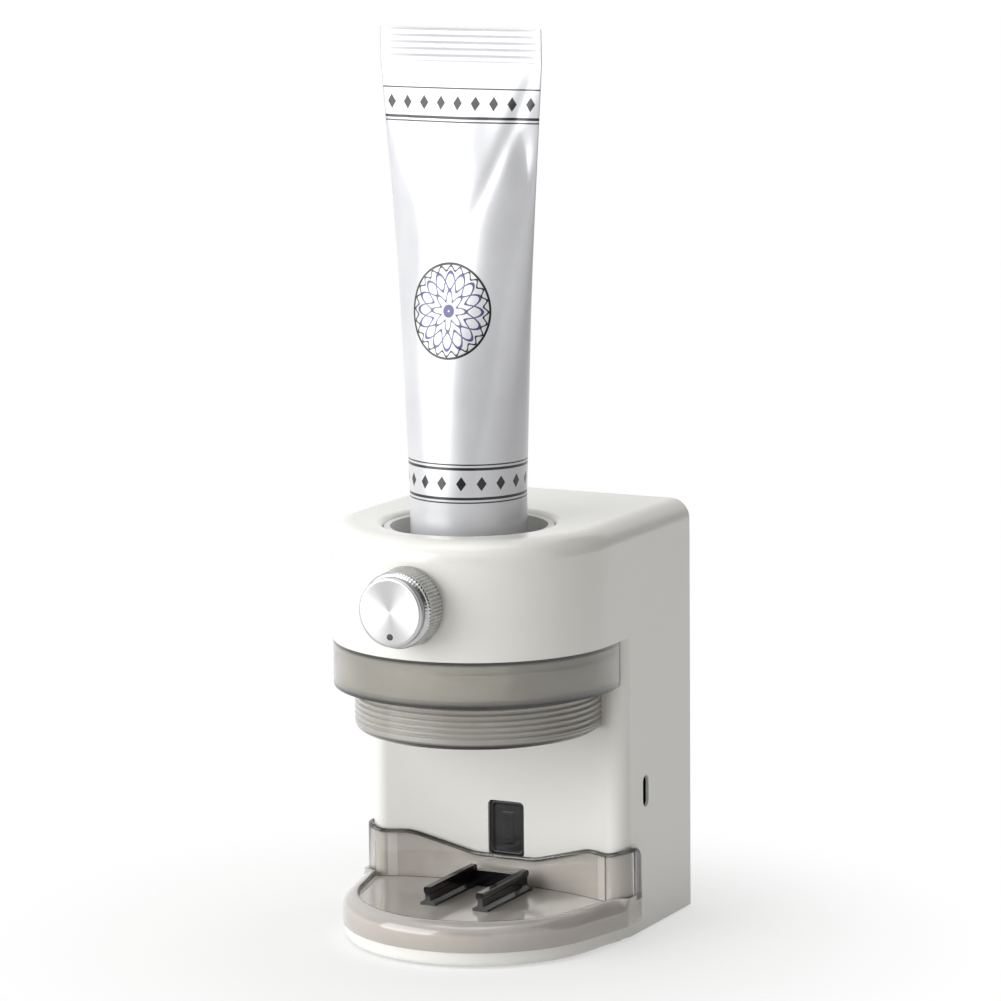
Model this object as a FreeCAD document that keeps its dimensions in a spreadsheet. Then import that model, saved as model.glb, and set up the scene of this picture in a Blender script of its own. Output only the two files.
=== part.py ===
import FreeCAD, Part
import Sketcher
import math
import os
import re

# A sensor-operated toothpaste dispenser: a white shell with a head over a hollow-faced column,
# a toothpaste tube standing upside down in the head, and a smoky tray for the brush below.
# Millimetres. The origin lies under the tube's axis on the standing plane, +Z up, -Y the front.

SIZES = {
    # white shell
    "half_width": 43, "head_centre_y": 5.3, "back_y": 61, "top_z": 126, "head_height": 34.9,
    "wall": 2.2, "top_wall": 2.6, "top_round": 6, "column_front_y": 14.5, "column_hollow": 7.5,
    "corner_round": 4.5, "well_radius": 25.2, "well_round": 2.2,
    # foot under the tray, and the pad below it
    "foot_inset": 2.1, "foot_top_z": 5, "plinth_top_z": 9.8, "foot_round": 1.8,
    "pad_proud": 0.6, "pad_sunk": 1, "pad_inset": 5,
    # clearances
    "press_gap": 0.02, "run_gap": 0.05, "fit_gap": 0.15, "slide_gap": 0.3,
    # smoky band and ribbed collar
    "band_height": 13.7, "band_wall": 2.2, "band_flange": 2, "band_spigot": 4,
    "collar_inset": 6.1, "collar_height": 13.6, "collar_lap": 1.6, "collar_wall": 2,
    "collar_round": 2.6, "rib_count": 6, "rib_pitch": 1.75, "rib_rise": 3.8, "rib_groove": 0.62,
    # tray and its guide rails
    "tray_inset": 1.6, "tray_wall": 1.5, "tray_floor": 2, "lip_top_z": 13.4, "lip_width": 4.6,
    "lip_round": 4.2, "skirt_wall": 2.4, "flare_y": 13, "wing_back_y": 22.5, "wing_top_z": 28,
    "lobe_z": 26.6, "trough_z": 20.6, "wing_round": 3.5, "cove_width": 1.6, "cove_top_z": 15,
    "rail_x": 8.7, "rail_front_y": -12.5, "rail_back_y": 17, "rail_front_height": 5.6,
    "rail_back_height": 6, "rail_foot_width": 5, "rail_foot_edge": 0.8, "rail_foot_slope": 1,
    "rail_waist": 1.6, "rail_head": 2.6, "rail_head_height": 1.6, "rail_head_slope": 0.6,
    "rail_edge": 0.4, "tie_width": 2.4, "tie_height": 4.8,
    # knob and its potentiometer
    "knob_drop": 18.9, "knob_gap": 0.6, "knob_wall": 1.6, "hub_depth": 2.4, "skirt_length": 8,
    "skirt_radius": 11.6, "skirt_front_radius": 11, "knurl_count": 48, "knurl_depth": 0.5,
    "knurl_bite": 0.1, "groove_width": 0.8, "groove_radius": 9.5, "cap_radius": 10.15,
    "cap_length": 2.4, "cap_chamfer": 0.5, "hub_radius": 4.4, "pot_radius": 8, "pot_length": 6.5,
    "bush_radius": 3.5, "nut_radius": 5.6, "nut_length": 2, "stem_radius": 2.5, "stem_reach": 2,
    "spot_face": 0.5,
    # tube
    "tube_radius": 17.2, "tube_length": 153, "neck_show": 4.5, "shoulder_height": 5,
    "neck_radius": 6.5, "neck_length": 10, "crimp_half_width": 26.2, "crimp_height": 10,
    "crimp_thickness": 1.4,
    # tube well, adapter and seal
    "well_wall": 1.8, "well_depth": 20, "well_sunk": 1.2, "well_flange": 3, "well_flange_height": 2.4,
    "adapter_radius": 9, "adapter_flange_radius": 13, "adapter_flange": 1.5, "adapter_drop": 7.9,
    "duct_radius": 3, "seal_thickness": 1.1,
    # pump
    "pump_rise": 11, "pump_drop": 11, "pump_half_width": 17, "pump_front_y": -6, "pump_width": 10,
    "pump_back_wall": 6, "pump_cover": 3, "pump_teeth": 12, "pump_module": 1.1, "tooth_height": 0.85,
    "tooth_depth": 1.15, "tooth_play": 0.06, "pressure_angle": 25, "tip_gap": 0.12,
    "shaft_radius": 2.5, "pin_radius": 2, "shaft_seal_radius": 5, "shaft_seal_length": 3,
    "pump_screw_inset": 3, "arm_x": 12, "arm_rise": 7, "arm_radius": 3.6,
    # outlet
    "nozzle_flange_radius": 9, "nozzle_flange": 2, "nozzle_radius": 6.4, "nozzle_tip_radius": 4.6,
    "nozzle_length": 9.4, "nozzle_taper": 6.2, "nozzle_bore": 3.4, "nozzle_hole": 8.4,
    "valve_radius": 6, "valve_flange": 1.2, "valve_length": 5, "valve_bore": 1.6,
    "valve_tip_radius": 2.2,
    # gear frame and gears
    "frame_front_y": 22.5, "frame_plate": 2.5, "frame_side_gap": 1.3, "frame_drop": 14,
    "frame_rise": 20, "rear_plate_rise": 28, "rear_plate": 2, "gear_module": 0.8, "wheel_teeth": 36,
    "pinion_teeth": 12, "gear_width": 5, "wheel_width": 4, "gear_gap": 1, "axle_radius": 1.5,
    "pinion_lean": 60, "bush_ring": 1.5, "pillar_radius": 3, "pillar_left_x": -30,
    "pillar_right_x": 28, "pillar_drop": 8, "pillar_rise": 16, "post_width": 8.5, "post_depth": 8,
    "post_height": 9.5, "throat_half_width": 22, "frame_gap": 0.8,
    # motor
    "motor_radius": 10.2, "motor_length": 17.5, "motor_boss_radius": 3, "motor_tail": 0.8,
    "motor_shaft_radius": 1, "motor_shaft_depth": 6,
    # battery
    "cell_radius": 9, "cell_length": 50, "cell_y": 46.5, "cell_cap": 1.2, "cell_cap_radius": 3,
    "holder_wall": 1.8, "holder_height": 9,
    # boards
    "board_width": 50.5, "board_side_gap": 2.3, "board_bottom_z": 30, "board_top_z": 62, "board": 1.6,
    "boss_radius": 3, "usb_y": 29.4, "usb_z": 42.7, "usb_width": 8.94, "usb_thickness": 3.2,
    "usb_length": 7.4, "usb_shell": 0.3, "usb_slot_gap": 0.33, "usb_sunk": 0.8,
    "tongue_margin": 1.1, "tongue_thickness": 0.7, "tongue_sunk": 1,
    "window_half_width": 6, "window_bottom_z": 19.9, "window_top_z": 36.9, "window_sunk": 0.6,
    "window_depth": 5.6, "window_face": 1.6, "window_rim": 1.3, "window_round": 1.4,
    "sensor_board": 1.2, "sensor_board_margin": 2.5, "led_radius": 1.5, "led_length": 1.6,
    "led_spread": 4,
    # screws and the cover
    "screw_radius": 1.4, "screw_head_radius": 2.7, "screw_head": 1.4, "screw_length": 8,
    "cover_screw_inset": 7, "cell_clearance": 1.4, "cover_screw_drop": 11, "cover_post_depth": 14,
    "cover_post_half": 4.5,
}

# Places worked out from the sizes above. What belongs to the head hangs from its top.
PLACES = {
    "foot_radius": "half_width - foot_inset",
    "tray_radius": "half_width - tray_inset",
    "collar_radius": "half_width - collar_inset",
    "frame_half_width": "half_width - wall - frame_side_gap",
    "board_right_x": "half_width - wall - board_side_gap",
    "board_left_x": "board_right_x - board_width",
    "cover_screw_x": "half_width - cover_screw_inset",
    "column_mid_y": "column_front_y + column_hollow",
    "corner_y": "column_front_y + corner_round",
    "screw_way": "screw_radius + press_gap",
    "screw_sink": "screw_head_radius + fit_gap",
    "bush_seat": "shaft_radius + bush_ring + press_gap",
    "inner_back_y": "back_y - wall",
    "inner_floor_z": "pad_proud + wall",
    "pad_top_z": "pad_proud + pad_sunk",
    "tray_floor_z": "plinth_top_z + tray_floor",
    "front_y": "head_centre_y - half_width",
    "inner_front_y": "front_y + wall",
    "band_top_z": "top_z - head_height",
    "band_bottom_z": "band_top_z - band_height",
    "collar_bottom_z": "band_bottom_z - collar_height",
    "collar_top_z": "band_bottom_z + collar_lap",
    "rib_first_z": "collar_bottom_z + rib_rise",
    "knob_z": "top_z - knob_drop",
    "spot_y": "front_y + spot_face",
    "skirt_rear_y": "front_y - knob_gap",
    "skirt_front_y": "skirt_rear_y - skirt_length",
    "knurl_ring": "skirt_front_radius + knurl_depth - knurl_bite",
    "cap_rear_y": "skirt_front_y - groove_width",
    "well_floor_z": "top_z - well_depth",
    "adapter_top_z": "well_floor_z + adapter_flange",
    "shoulder_z": "adapter_top_z + neck_show",
    "tube_base_z": "shoulder_z + shoulder_height",
    "tube_top_z": "tube_base_z + tube_length",
    "neck_z": "shoulder_z - neck_length",
    "seal_z": "neck_z - seal_thickness",
    "pump_top_z": "seal_z - adapter_drop",
    "pump_z": "pump_top_z - pump_rise",
    "pump_bottom_z": "pump_z - pump_drop",
    "arm_z": "pump_z + arm_rise",
    "nozzle_tip_z": "pump_bottom_z - nozzle_length",
    "pump_pitch": "pump_teeth * pump_module / 2",
    "cavity_radius": "pump_pitch + pump_module * tooth_height + tip_gap",
    "pump_back_y": "pump_front_y + pump_width + pump_back_wall",
    "frame_back_y": "frame_front_y + frame_plate",
    "frame_bottom_z": "pump_z - frame_drop",
    "frame_top_z": "pump_z + frame_rise",
    "rear_plate_top_z": "pump_z + rear_plate_rise",
    "pillar_low_z": "pump_z - pillar_drop",
    "pillar_high_z": "pump_z + pillar_rise",
    "post_bottom_z": "frame_top_z - post_height",
    "wheel_pitch": "wheel_teeth * gear_module / 2",
    "pinion_pitch": "pinion_teeth * gear_module / 2",
    "gear_spacing": "wheel_pitch + pinion_pitch",
    "gear_front_y": "frame_back_y + gear_gap",
    "wheel_front_y": "gear_front_y + gear_width + gear_gap",
    "rear_plate_y": "wheel_front_y + wheel_width + 1.5 * gear_gap",
    "motor_y": "rear_plate_y + rear_plate",
    "compound_x": "pump_pitch - gear_spacing",
    "pinion_x": "compound_x + gear_spacing * cos(pinion_lean)",
    "pinion_z": "pump_z + gear_spacing * sin(pinion_lean)",
    "cell_z": "inner_floor_z + holder_wall + cell_radius",
    "board_y": "usb_y + usb_thickness / 2",
    "window_y": "column_mid_y + window_sunk",
    "window_back_y": "window_y + window_depth",
    "window_mid_z": "(window_bottom_z + window_top_z) / 2",
    "cover_screw_high_z": "top_z - cover_screw_drop",
    "cover_screw_low_z": "cell_z + cell_radius + cell_clearance + cover_post_half",
}

# Cutting tools run this far past the faces that they cut, and fused pieces reach into each other by it.
OVER = 1

vec = FreeCAD.Vector
doc = FreeCAD.newDocument("dispenser")
sheet = doc.addObject("Spreadsheet::Sheet", "Sizes")
for row, (alias, number) in enumerate(SIZES.items(), start=1):
    sheet.set(f"A{row}", alias)
    sheet.set(f"B{row}", str(number))
    sheet.setAlias(f"B{row}", alias)
doc.recompute()


WORD = r"[a-z][a-z_]*"


def spelled(formula):
    """The formula with each place written out and each size read from the sheet."""
    text = str(formula)
    while True:
        longer = re.sub(WORD, lambda word: f"({PLACES[word[0]]})" if word[0] in PLACES else word[0], text)
        if longer == text:
            break
        text = longer
    return re.sub(WORD, lambda word: f"Sizes.{word[0]}" if word[0] in SIZES else word[0], text)


def mm(formula):
    """The formula's value as a number."""
    return float(sheet.evalExpression(spelled(formula)))


def bind(thing, **formulas):
    """Ties properties of an object to formulas of the sheet's sizes."""
    for prop, formula in formulas.items():
        thing.setExpression(prop, spelled(formula))
    return thing


TURN = {
    "x": FreeCAD.Rotation(vec(0, 1, 0), 90),
    "y": FreeCAD.Rotation(vec(1, 0, 0), -90),
    "z": FreeCAD.Rotation(),
}


def placed(thing, axis, x, y, z):
    """Turns an object's own Z onto an axis and binds its place."""
    thing.Placement = FreeCAD.Placement(vec(0, 0, 0), TURN[axis])
    for letter, formula in zip("xyz", (x, y, z)):
        thing.setExpression(f"Placement.Base.{letter}", spelled(formula))
    return thing


def block(name, x, y, z):
    """A box between pairs of formulas for its low and high side on each axis."""
    box = doc.addObject("Part::Box", name)
    bind(box, Length=f"({x[1]}) - ({x[0]})", Width=f"({y[1]}) - ({y[0]})", Height=f"({z[1]}) - ({z[0]})")
    return placed(box, "z", x[0], y[0], z[0])


def rod(name, axis, x, y, z, radius, length):
    """A cylinder that starts at a point and runs along an axis."""
    cylinder = doc.addObject("Part::Cylinder", name)
    bind(cylinder, Radius=radius, Height=length)
    return placed(cylinder, axis, x, y, z)


def join(name, pieces):
    """Pieces fused into one solid."""
    fused = doc.addObject("Part::MultiFuse", name)
    fused.Shapes = pieces
    return fused


def cut(name, base, tools):
    """A piece with tools cut from it."""
    tool = tools[0] if len(tools) == 1 else join(f"{name}_cuts", tools)
    trimmed = doc.addObject("Part::Cut", name)
    trimmed.Base = base
    trimmed.Tool = tool
    return trimmed


def group(name, pieces):
    """Separate solids kept in one node."""
    together = doc.addObject("Part::Compound", name)
    together.Links = pieces
    return together


def solid(name, shape):
    """A shape worked out from the sheet's sizes, as an object of the document."""
    feature = doc.addObject("Part::Feature", name)
    feature.Shape = shape
    feature.Placement = FreeCAD.Placement()
    return feature


def turned(name, axis, x, y, z, outline):
    """A body revolved about its own Z from an outline of (radius, height) formulas."""
    body = doc.addObject("PartDesign::Body", name)
    sketch = body.newObject("Sketcher::SketchObject", f"{name}_profile")
    plane = [part for part in body.Origin.OriginFeatures if part.Role == "XZ_Plane"][0]
    sketch.AttachmentSupport = [(plane, "")]
    sketch.MapMode = "FlatFace"
    corners = [vec(mm(radius), mm(height), 0) for radius, height in outline]
    for first, second in zip(corners, corners[1:] + corners[:1]):
        sketch.addGeometry(Part.LineSegment(first, second), False)
    for index in range(len(corners)):
        following = (index + 1) % len(corners)
        sketch.addConstraint(Sketcher.Constraint("Coincident", index, 2, following, 1))
    for index, (radius, height) in enumerate(outline):
        for kind, line, formula, number in (
            ("DistanceX", -2, radius, corners[index].x),
            ("DistanceY", -1, height, corners[index].y),
        ):
            if formula == "0":
                sketch.addConstraint(Sketcher.Constraint("PointOnObject", index, 1, line))
                continue
            tie = sketch.addConstraint(Sketcher.Constraint(kind, -1, 1, index, 1, number))
            sketch.renameConstraint(tie, f"{kind}_{index}")
            sketch.setExpression(f"Constraints.{kind}_{index}", spelled(formula))
    revolved = body.newObject("PartDesign::Revolution", f"{name}_turn")
    revolved.Profile = sketch
    revolved.ReferenceAxis = (sketch, ["V_Axis"])
    revolved.Angle = 360
    return placed(body, axis, x, y, z)


NODES = {}


def node(label, thing):
    """Names a finished sub-part; the label is its file's name."""
    thing.Label = label
    NODES[label] = thing
    return thing


def prism(wire, low, high):
    """A flat outline in XY carried up from one height to another."""
    wire = wire.copy()
    wire.translate(vec(0, 0, low))
    return Part.Face(wire).extrude(vec(0, 0, high - low))


def outline_of(edges):
    """A closed wire of edges given in order."""
    return Part.Wire(edges)


def line(first, second):
    """A straight edge between two points in XY."""
    return Part.LineSegment(vec(*first, 0), vec(*second, 0)).toShape()


def arc(first, middle, last):
    """An arc through three points in XY."""
    return Part.Arc(vec(*first, 0), vec(*middle, 0), vec(*last, 0)).toShape()


def column_outline(spread):
    """The column seen from above: a hollow front, round corners and flat sides, spread outwards."""
    side = mm("half_width")
    corner = mm("corner_round")
    corner_x = side - corner
    corner_y = mm("corner_y")
    middle = mm("column_mid_y")
    drop = corner_y - middle
    hollow = (corner_x**2 + drop**2 - corner**2) / (2 * (corner - drop))
    centre_y = middle - hollow
    lean = math.atan2(corner_x, corner_y - centre_y)
    reach = hollow - spread
    touch = (reach * math.sin(lean), centre_y + reach * math.cos(lean))
    bulge = math.radians(45) - lean / 2
    round_mid = (
        corner_x + (corner + spread) * math.sin(bulge),
        corner_y - (corner + spread) * math.cos(bulge),
    )
    edge = (side + spread, corner_y)
    back = (side + spread, mm("back_y"))

    def flip(point):
        return (-point[0], point[1])

    return outline_of([
        arc(flip(touch), (0, middle - spread), touch),
        arc(touch, round_mid, edge),
        line(edge, back),
        line(back, flip(back)),
        line(flip(back), flip(edge)),
        arc(flip(edge), flip(round_mid), flip(touch)),
    ])


def head_outline(spread):
    """The head seen from above: a half circle at the front and straight sides to the back."""
    radius = mm("half_width") + spread
    centre = mm("head_centre_y")
    back = mm("back_y")
    return outline_of([
        arc((-radius, centre), (0, centre - radius), (radius, centre)),
        line((radius, centre), (radius, back)),
        line((radius, back), (-radius, back)),
        line((-radius, back), (-radius, centre)),
    ])


def flared_outline(radius, side, back):
    """A round front whose sides run tangent from the circle out to a wider straight part."""
    centre = mm("head_centre_y")
    flare = mm("flare_y")
    far = math.hypot(side, flare - centre)
    angle = math.atan2(flare - centre, side) - math.acos(radius / far)
    touch = (radius * math.cos(angle), centre + radius * math.sin(angle))
    return outline_of([
        arc((-touch[0], touch[1]), (0, centre - radius), touch),
        line(touch, (side, flare)),
        line((side, flare), (side, back)),
        line((side, back), (-side, back)),
        line((-side, back), (-side, flare)),
        line((-side, flare), (-touch[0], touch[1])),
    ])


def edges_at(shape, height, keep):
    """Edges that lie flat at a height and whose middle passes a test."""
    found = []
    for edge in shape.Edges:
        box = edge.BoundBox
        if abs(box.ZMin - height) < 1e-4 and abs(box.ZMax - height) < 1e-4:
            if keep(edge.valueAt((edge.FirstParameter + edge.LastParameter) / 2)):
                found.append(edge)
    return found


def along_y(x, y, z, radius, length):
    """A plain cylinder shape that starts at a point and runs towards the back."""
    return Part.makeCylinder(radius, length, vec(x, y, z), vec(0, 1, 0))


def box_between(x, y, z):
    """A plain box shape between low and high sides."""
    return Part.makeBox(x[1] - x[0], y[1] - y[0], z[1] - z[0], vec(x[0], y[0], z[0]))


def head_solid(spread, low, high, rounding):
    """The head's block, its top edge rounded all round except at the back."""
    shape = prism(head_outline(spread), low, high)
    back = mm("back_y")
    return shape.makeFillet(rounding, edges_at(shape, high, lambda point: point.y < back - 1e-3))


def window_prism(front, back, spread):
    """The sensor window's rounded rectangle, carried along Y and spread outwards."""
    half = mm("window_half_width") + spread
    low = mm("window_bottom_z") - spread
    high = mm("window_top_z") + spread
    shape = box_between((-half, half), (front, back), (low, high))
    corners = [edge for edge in shape.Edges if edge.BoundBox.YLength > (back - front) / 2]
    return shape.makeFillet(mm("window_round") + spread, corners)


# Bosses for the main board and posts for the back cover, shared by the shell and the screws.
BOARD_BOSSES = [
    ("board_left_x + boss_radius", "board_top_z - boss_radius"),
    ("board_right_x - boss_radius", "board_top_z - boss_radius"),
    ("board_right_x - boss_radius", "board_bottom_z + boss_radius"),
]
COVER_SCREWS = [
    (f"{side} * cover_screw_x", height)
    for side in (-1, 1)
    for height in ("cover_screw_low_z", "cover_screw_high_z")
]


def main_housing():
    """The white shell: head, column and foot in one moulding, open at the back."""
    floor_z = mm("pad_proud")
    band_top = mm("band_top_z")
    wall = mm("wall")
    half = mm("half_width")
    back = mm("back_y")
    top = mm("top_z")
    middle = mm("column_mid_y")
    head = head_solid(0, band_top, top, mm("top_round"))
    column = prism(column_outline(0), floor_z, band_top)
    foot = prism(flared_outline(mm("foot_radius"), half, middle + wall), floor_z, mm("foot_top_z"))
    foot = foot.makeFillet(mm("foot_round"), edges_at(foot, floor_z, lambda point: point.y < mm("flare_y")))
    inset = mm("skirt_wall + slide_gap")
    plinth_radius = mm("tray_radius") - inset
    plinth_side = mm("half_width + slide_gap + tray_wall") - inset
    plinth = prism(flared_outline(plinth_radius, plinth_side, middle + wall), floor_z, mm("plinth_top_z"))
    shell = head.fuse([column, foot, plinth])
    head_room = head_solid(-wall, band_top, top - mm("top_wall"), mm("top_round - wall"))
    column_room = prism(column_outline(-wall), floor_z + wall, band_top)
    foot_room = prism(
        flared_outline(plinth_radius - wall, plinth_side - wall, middle + 4 * wall),
        floor_z + wall,
        mm("plinth_top_z") - wall,
    )
    depth = (mm("head_centre_y"), middle + 2 * wall)
    flange_z = mm("band_bottom_z + band_flange")
    wide = mm("collar_radius")
    narrow = mm("throat_half_width")
    throat = [
        box_between((-wide, wide), depth, (flange_z, band_top)),
        box_between((-narrow, narrow), depth, (mm("frame_bottom_z - frame_gap"), flange_z)),
    ]
    shell = shell.cut([head_room, column_room, foot_room] + throat)
    well = Part.makeCylinder(mm("well_radius"), 3 * wall, vec(0, 0, top - 2 * wall))
    shell = shell.cut(well)
    rim = edges_at(shell, top, lambda point: math.hypot(point.x, point.y) < mm("well_radius") + 1e-3)
    shell = shell.makeFillet(mm("well_round"), rim)
    knob_z = mm("knob_z")
    pot_hole = along_y(0, mm("front_y") - 2 * wall, knob_z, mm("bush_radius + fit_gap"), 6 * wall)
    spot_depth = 2 * wall + mm("spot_face")
    spot = along_y(0, mm("front_y") - 2 * wall, knob_z, mm("skirt_radius"), spot_depth)
    usb = usb_block(half - 2 * wall, half + wall, mm("usb_slot_gap"))
    window = window_prism(middle - wall, middle + 3 * wall, mm("press_gap"))
    pad = prism(pad_outline(mm("fit_gap")), 0, mm("pad_top_z"))
    pot_seat = along_y(0, mm("inner_front_y"), knob_z, mm("pot_radius + fit_gap"), mm("pot_length"))
    shell = shell.cut([pot_hole, spot, pot_seat, usb, window, pad])
    additions = []
    room = half - wall / 2
    post_z = (mm("post_bottom_z"), mm("frame_top_z"))
    post_y = (mm("frame_front_y - post_depth"), mm("frame_front_y"))
    cover_half = mm("cover_post_half")
    for side in (-1, 1):
        post_x = sorted((side * (half - wall - mm("post_width")), side * room))
        additions.append(box_between(post_x, post_y, post_z))
        cover_x = sorted((side * (mm("cover_screw_x") - cover_half), side * room))
        cover_y = (mm("inner_back_y - cover_post_depth"), mm("inner_back_y"))
        for height in (mm("cover_screw_low_z"), mm("cover_screw_high_z")):
            additions.append(box_between(cover_x, cover_y, (height - cover_half, height + cover_half)))
    for x, z in BOARD_BOSSES:
        additions.append(along_y(mm(x), mm("column_front_y + wall"), mm(z), mm("boss_radius"),
                                 mm("board_y - column_front_y - wall")))
    outside = prism(column_outline(-wall / 2), floor_z, band_top).fuse(
        prism(head_outline(-wall / 2), band_top, top - wall / 2))
    additions = [piece.common(outside) for piece in additions]
    shell = shell.fuse(additions)
    holes = [screw_hole(x, "inner_back_y", z) for x, z in COVER_SCREWS]
    holes += [screw_hole(x, "board_y", z) for x, z in BOARD_BOSSES]
    holes += [screw_hole(x, "frame_front_y", z) for x, z in frame_post_screws()]
    return shell.cut(holes).removeSplitter()


def screw_hole(x, y, z):
    """A blind hole that takes a screw's shank, driven forwards from a seat."""
    depth = mm("screw_length + press_gap")
    return along_y(mm(x), mm(y) - depth, mm(z), mm("screw_way"), depth)


def frame_post_screws():
    """Places of the screws that hold the gear frame to the posts inside the head."""
    x = "half_width - wall - post_width / 2"
    z = "(post_bottom_z + frame_top_z) / 2"
    return [(f"{side} * ({x})", z) for side in (-1, 1)]


def pad_outline(spread):
    """The pad's outline: the foot's, drawn in, and run back under the column."""
    inset = mm("pad_inset") - spread
    return flared_outline(mm("foot_radius") - inset, mm("half_width") - inset, mm("back_y") - inset)


def usb_block(left, right, spread):
    """The port's slot as a block along X, its long way upright and its ends half round, spread outwards."""
    thick = mm("usb_thickness") / 2 + spread
    reach = mm("usb_width - usb_thickness") / 2

    def point(across, up):
        return vec(left, mm("usb_y") + across, mm("usb_z") + up)

    outline = outline_of([
        Part.LineSegment(point(thick, -reach), point(thick, reach)).toShape(),
        Part.Arc(point(thick, reach), point(0, reach + thick), point(-thick, reach)).toShape(),
        Part.LineSegment(point(-thick, reach), point(-thick, -reach)).toShape(),
        Part.Arc(point(-thick, -reach), point(0, -reach - thick), point(thick, -reach)).toShape(),
    ])
    return Part.Face(outline).extrude(vec(right - left, 0, 0))


node("main_housing", solid("housing", main_housing()))
pad_shape = prism(pad_outline(0), 0, mm("pad_top_z"))
node("base_pad", solid("pad", pad_shape))


# Back cover, set flush into the open back and held by four screws.
def back_cover():
    """A plate cut to the room inside the shell, less the fit."""
    inset = mm("wall + fit_gap")
    top = mm("top_z - top_wall - fit_gap")
    room = head_solid(-inset, mm("band_top_z"), top, mm("top_round - wall - fit_gap"))
    low = prism(column_outline(-inset), mm("inner_floor_z + fit_gap"), mm("band_top_z"))
    half = mm("half_width")
    slice_box = box_between((-half, half), (mm("inner_back_y"), mm("back_y")), (0, top + OVER))
    return room.fuse(low).common(slice_box).removeSplitter()


cover_holes = []
for index, (x, z) in enumerate(COVER_SCREWS):
    cover_holes.append(rod(f"cover_hole_{index}", "y", x, "inner_back_y - wall", z, "screw_way", "3 * wall"))
    cover_holes.append(rod(f"cover_sink_{index}", "y", x, "back_y - screw_head", z, "screw_sink", "wall"))
node("back_cover", cut("cover", solid("cover_plate", back_cover()), cover_holes))


def screws(name, places, seat_y):
    """Screws driven forwards whose heads rest on a seat, as separate solids of one group."""
    made = []
    for index, (x, z, grip) in enumerate(places):
        outline = [
            ("0", f"-1 * ({grip}) - screw_length"),
            ("screw_radius", f"-1 * ({grip}) - screw_length"),
            ("screw_radius", "0"),
            ("screw_head_radius", "0"),
            ("screw_head_radius", "screw_head"),
            ("0", "screw_head"),
        ]
        made.append(turned(f"{name}_{index}", "y", x, seat_y, z, outline))
    return node(name, group(f"{name}_group", made))


screws("cover_screws", [(x, z, "wall - screw_head") for x, z in COVER_SCREWS], "back_y - screw_head")


# Smoky band: a half ring flush with the head, with a flange below and a spigot inside the head.
def head_band():
    """A ring cut to the space in front of the column."""
    centre = vec(0, mm("head_centre_y"), 0)
    low = mm("band_bottom_z")
    high = mm("band_top_z")
    half = mm("half_width")
    inner = half - mm("band_wall")

    def ring(outer, bore, bottom, top):
        place = vec(centre.x, centre.y, bottom)
        return Part.makeCylinder(outer, top - bottom, place).cut(Part.makeCylinder(bore, top - bottom, place))

    flange_bore = mm("collar_radius + slide_gap")
    spigot_outer = half - mm("wall + fit_gap")
    spigot_inner = spigot_outer - mm("band_wall")
    shape = ring(half, inner, low, high).fuse([
        ring(half, flange_bore, low, low + mm("band_flange")),
        ring(half, spigot_inner, high - mm("band_spigot"), high),
        ring(spigot_outer, spigot_inner, high, high + mm("band_spigot")),
    ])
    behind = prism(column_outline(mm("fit_gap")), low - OVER, high + mm("band_spigot") + OVER)
    ends_y = mm("column_front_y - fit_gap")
    back = box_between((-2 * half, 2 * half), (ends_y, 3 * half), (low - OVER, high + half))
    return shape.cut([behind, back]).removeSplitter()


node("head_band", solid("band", head_band()))


# Ribbed collar: a half cup around the outlet, pulled down to clean the nozzle.
def ribbed_collar():
    """A cup of ringed wall, cut to the column's face with a gap, and closed along it."""
    centre_y = mm("head_centre_y")
    low = mm("collar_bottom_z")
    high = mm("collar_top_z")
    radius = mm("collar_radius")
    wall = mm("collar_wall")
    groove = mm("rib_groove")
    outer = Part.makeCylinder(radius, high - low, vec(0, centre_y, low))
    outer = outer.makeFillet(mm("collar_round"), edges_at(outer, low, lambda point: True))
    for index in range(int(mm("rib_count"))):
        height = mm("rib_first_z") + index * mm("rib_pitch")
        outer = outer.cut(Part.makeTorus(radius + groove / 5, groove, vec(0, centre_y, height)))
    inner = Part.makeCylinder(radius - wall, high - low, vec(0, centre_y, low + wall))
    outer = outer.cut(prism(column_outline(mm("slide_gap")), low - OVER, high + OVER))
    inner = inner.cut(prism(column_outline(mm("slide_gap") + wall), low - OVER, high + 2 * wall))
    hole = Part.makeCylinder(mm("nozzle_hole"), 3 * wall, vec(0, 0, low - wall))
    return outer.cut([inner, hole])


node("ribbed_collar", solid("collar", ribbed_collar()))


# Brush tray: drops over the plinth, with a lip in front and a wave-topped wall along the column.
def tray_profile(spread, low, high):
    """The tray's outline drawn in or out, carried up, and cut clear of the column."""
    side = mm("half_width + slide_gap + tray_wall") + spread
    return prism(flared_outline(mm("tray_radius") + spread, side, mm("wing_back_y")), low, high)


WAVE_EASE = 0.2


def wave_screen():
    """A screen in XZ that ends in the wall's wave: a trough in the middle, a lobe at each side.

    The wave turns at shares of the half width, and eases into its turns by a hair.
    """
    half = mm("half_width")
    reach = half + mm("wing_top_z")
    crest = mm("lobe_z")
    trough = mm("trough_z")
    top = mm("wing_top_z")
    turns = {
        0.24: trough + WAVE_EASE,
        0.47: (trough + crest) / 2,
        0.7: crest,
        0.88: crest - WAVE_EASE,
        1: top - WAVE_EASE,
    }
    right = [(half * share, height) for share, height in turns.items()] + [(reach, top)]
    left = [(-x, z) for x, z in reversed(right)] + [(0, trough)]
    curve = Part.BSplineCurve()
    curve.interpolate([vec(x, 0, z) for x, z in left + right])
    ends = [vec(reach, 0, top), vec(reach, 0, 0), vec(-reach, 0, 0), vec(-reach, 0, top)]
    sides = [Part.LineSegment(first, second).toShape() for first, second in zip(ends, ends[1:])]
    face = Part.Face(Part.Wire([curve.toShape()] + sides))
    face.translate(vec(0, -half, 0))
    return face.extrude(vec(0, 3 * half, 0))


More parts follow.
